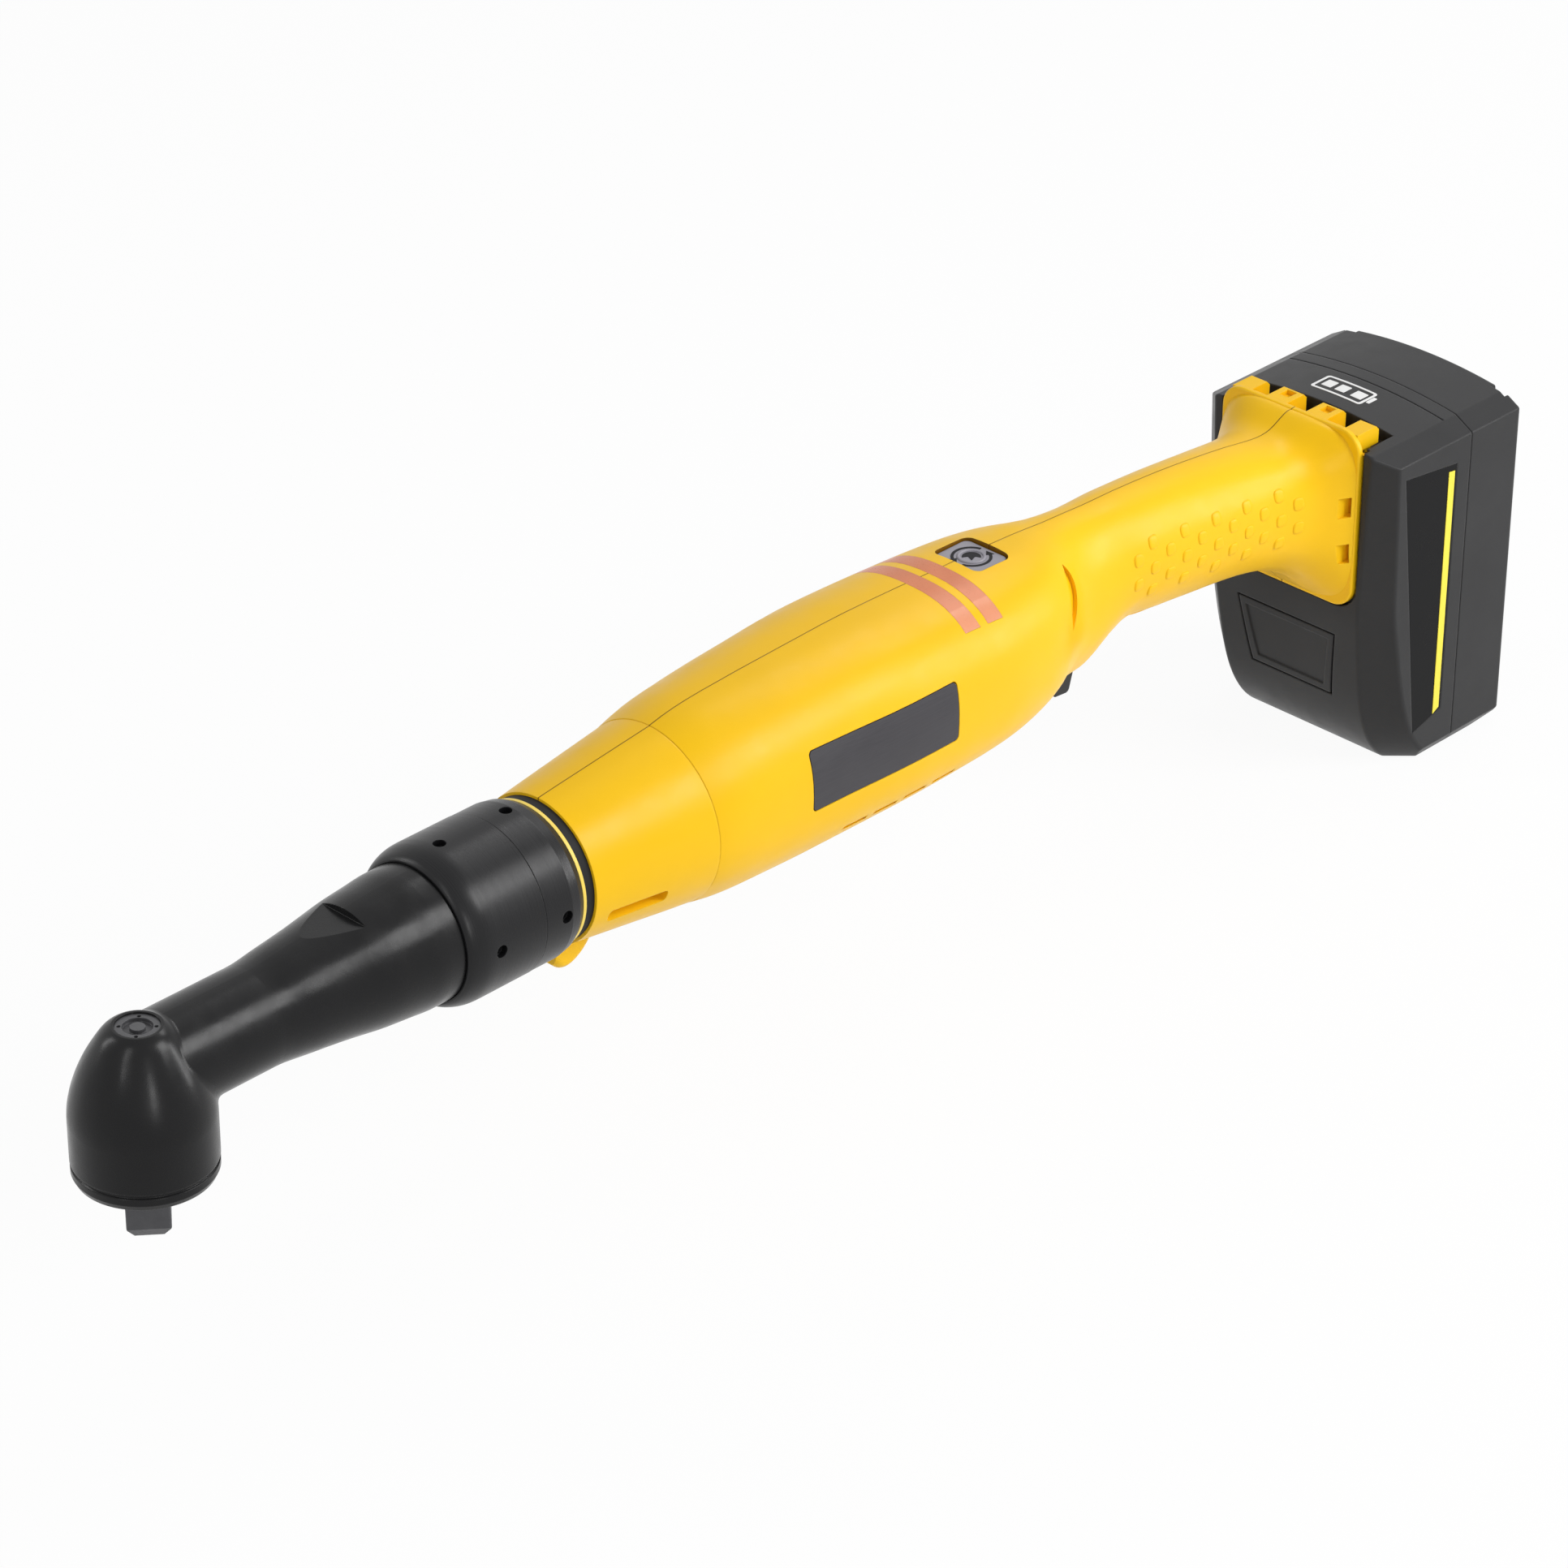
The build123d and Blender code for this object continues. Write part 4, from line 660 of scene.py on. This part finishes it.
def add_turn_arrow(shape, start, stop):
    """A curved arrow: an arc with a pointed head."""
    half_line = symbol_arrow_line / 2
    outside = flat_ring(shape, arc_points(symbol_arrow_radius + half_line, start, stop, symbol_arrow_steps))
    inside = flat_ring(shape, arc_points(symbol_arrow_radius - half_line, start, stop, symbol_arrow_steps))
    for index in range(symbol_arrow_steps):
        shape.faces.new((outside[index], outside[index + 1], inside[index + 1], inside[index]))
    head_turn = math.degrees(symbol_arrow_head / symbol_arrow_radius)
    tip = button_point(symbol_arrow_radius, stop + head_turn)
    wide = button_point(symbol_arrow_radius + symbol_arrow_head / 2, stop)
    narrow = button_point(symbol_arrow_radius - symbol_arrow_head / 2, stop)
    shape.faces.new(flat_ring(shape, (wide, tip, narrow)))


def make_button_symbol():
    """Dark turning arrows and pointer printed on the button, and its raised ring."""
    tree = surface("function_button")
    shape = bmesh.new()
    for start, stop in symbol_arrows:
        add_turn_arrow(shape, start, stop)
    bow_from = symbol_turn - symbol_bow_half_turn
    bow_to = symbol_turn + symbol_bow_half_turn
    bow = arc_points(symbol_bow, bow_from, bow_to, symbol_bow_steps)
    pointer = [button_point(radius, symbol_turn + turn) for radius, turn in symbol_pointer]
    shape.faces.new(flat_ring(shape, bow + pointer))
    thick_print(shape, lambda x, y: top_point(tree, x, y), symbol_height)
    add_piece("button_arrows", shape, print_dark, "function_button")
    make_button_ring(tree)


def make_button_ring(tree):
    """Raised half-round ring on the button."""
    shape = bmesh.new()
    rings = []
    for side in range(ring_sides + 1):
        angle = math.pi * side / ring_sides
        rise = math.sin(angle) - ring_sink
        radius = symbol_ring + symbol_ring_wire * math.cos(angle)
        ring = []
        for x, y in arc_points(radius, 0, 360, ring_turns)[:-1]:
            spot, normal = top_point(tree, x, y)
            ring.append(shape.verts.new(spot + normal * rise * symbol_ring_wire * mm))
        rings.append(ring)
    for outer, inner in zip(rings, rings[1:]):
        bridge(shape, outer, inner, smooth=True)
    bridge(shape, rings[-1], rings[0])
    add_piece("button_ring", shape, finishes["button_plastic"], "function_button")


# Studio
def make_world():
    """Even light all round, and white where the camera or a reflection sees it."""
    world = bpy.data.worlds.new("studio")
    bpy.context.scene.world = world
    world.use_nodes = True
    tree = world.node_tree
    background = tree.nodes["Background"]
    background.inputs["Color"].default_value = white
    strength = spread(tree, seen_white(tree), sky_level, 1.0, 0.0, 1.0)
    tree.links.new(strength, background.inputs["Strength"])


def floor_material():
    """Pale matt floor, whitened for the camera so that only a faint shadow is left."""
    material, tree, shader = start_material("studio_floor")
    tree.nodes.remove(shader)
    matt = add_node(tree, "BsdfDiffuse", {"Color": floor_colour}).outputs[0]
    glow = add_node(tree, "Emission", {"Color": white, "Strength": 1.0}).outputs[0]
    share = spread(tree, seen_white(tree), 0.0, floor_whitening, 0.0, 1.0)
    mixed = add_node(tree, "MixShader", {0: share, 1: matt, 2: glow}).outputs[0]
    tree.links.new(mixed, tree.nodes["Material Output"].inputs["Surface"])
    return material


def make_floor():
    """A wide level floor that the tool rests on."""
    half = floor_size / 2
    mesh = bpy.data.meshes.new("studio_floor")
    outline = ((-half, -half), (half, -half), (half, half), (-half, half))
    corners = [(x, y, cad_low[2]) for x, y in outline]
    mesh.from_pydata(corners, [], [(0, 1, 2, 3)])
    mesh.materials.append(floor_material())
    floor = bpy.data.objects.new("studio_floor", mesh)
    bpy.context.scene.collection.objects.link(floor)


def make_lamps():
    """Soft lamps and narrow strips round the middle of the tool."""
    middle = (Vector(cad_low) + Vector(cad_high)) / 2
    for name, lamp in lamps.items():
        turn = math.radians(lamp["turn"])
        rise = math.radians(lamp["rise"])
        away = Vector((math.sin(turn) * math.cos(rise), -math.cos(turn) * math.cos(rise), math.sin(rise)))
        light = bpy.data.lights.new(name, "AREA")
        light.shape = "RECTANGLE"
        light.size = lamp["width"]
        light.size_y = lamp["height"]
        light.energy = lamp["watts"]
        source = bpy.data.objects.new(name, light)
        source.location = middle + away * lamp_distance
        source.rotation_euler = away.to_track_quat("Z", "Y").to_euler()
        bpy.context.scene.collection.objects.link(source)


def make_camera():
    """Camera at the photograph's place, worked out from its angles and where it sees the origin."""
    turn = math.radians(camera_turn)
    tilt = math.radians(camera_tilt)
    roll = math.radians(camera_roll)
    ahead = Vector((math.sin(turn) * math.cos(tilt), math.cos(turn) * math.cos(tilt), -math.sin(tilt)))
    level = Vector((math.cos(turn), -math.sin(turn), 0))
    upright = level.cross(ahead)
    right = level * math.cos(roll) + upright * math.sin(roll)
    up = upright * math.cos(roll) - level * math.sin(roll)
    stand = -(right * seen_right + up * seen_up + ahead * seen_ahead)
    lens = bpy.data.cameras.new("camera")
    lens.sensor_width = sensor_width
    lens.lens = focal_pixels / image_size * sensor_width
    camera = bpy.data.objects.new("camera", lens)
    turned = Matrix((right, up, -ahead)).transposed().to_4x4()
    camera.matrix_world = Matrix.Translation(place(*stand)) @ turned
    bpy.context.scene.collection.objects.link(camera)
    bpy.context.scene.camera = camera


finish_cad_nodes()
make_grip_dots()
make_gauge()
make_stripes()
make_button_symbol()
make_world()
make_floor()
make_lamps()
make_camera()
bpy.context.scene.view_settings.view_transform = "Standard"
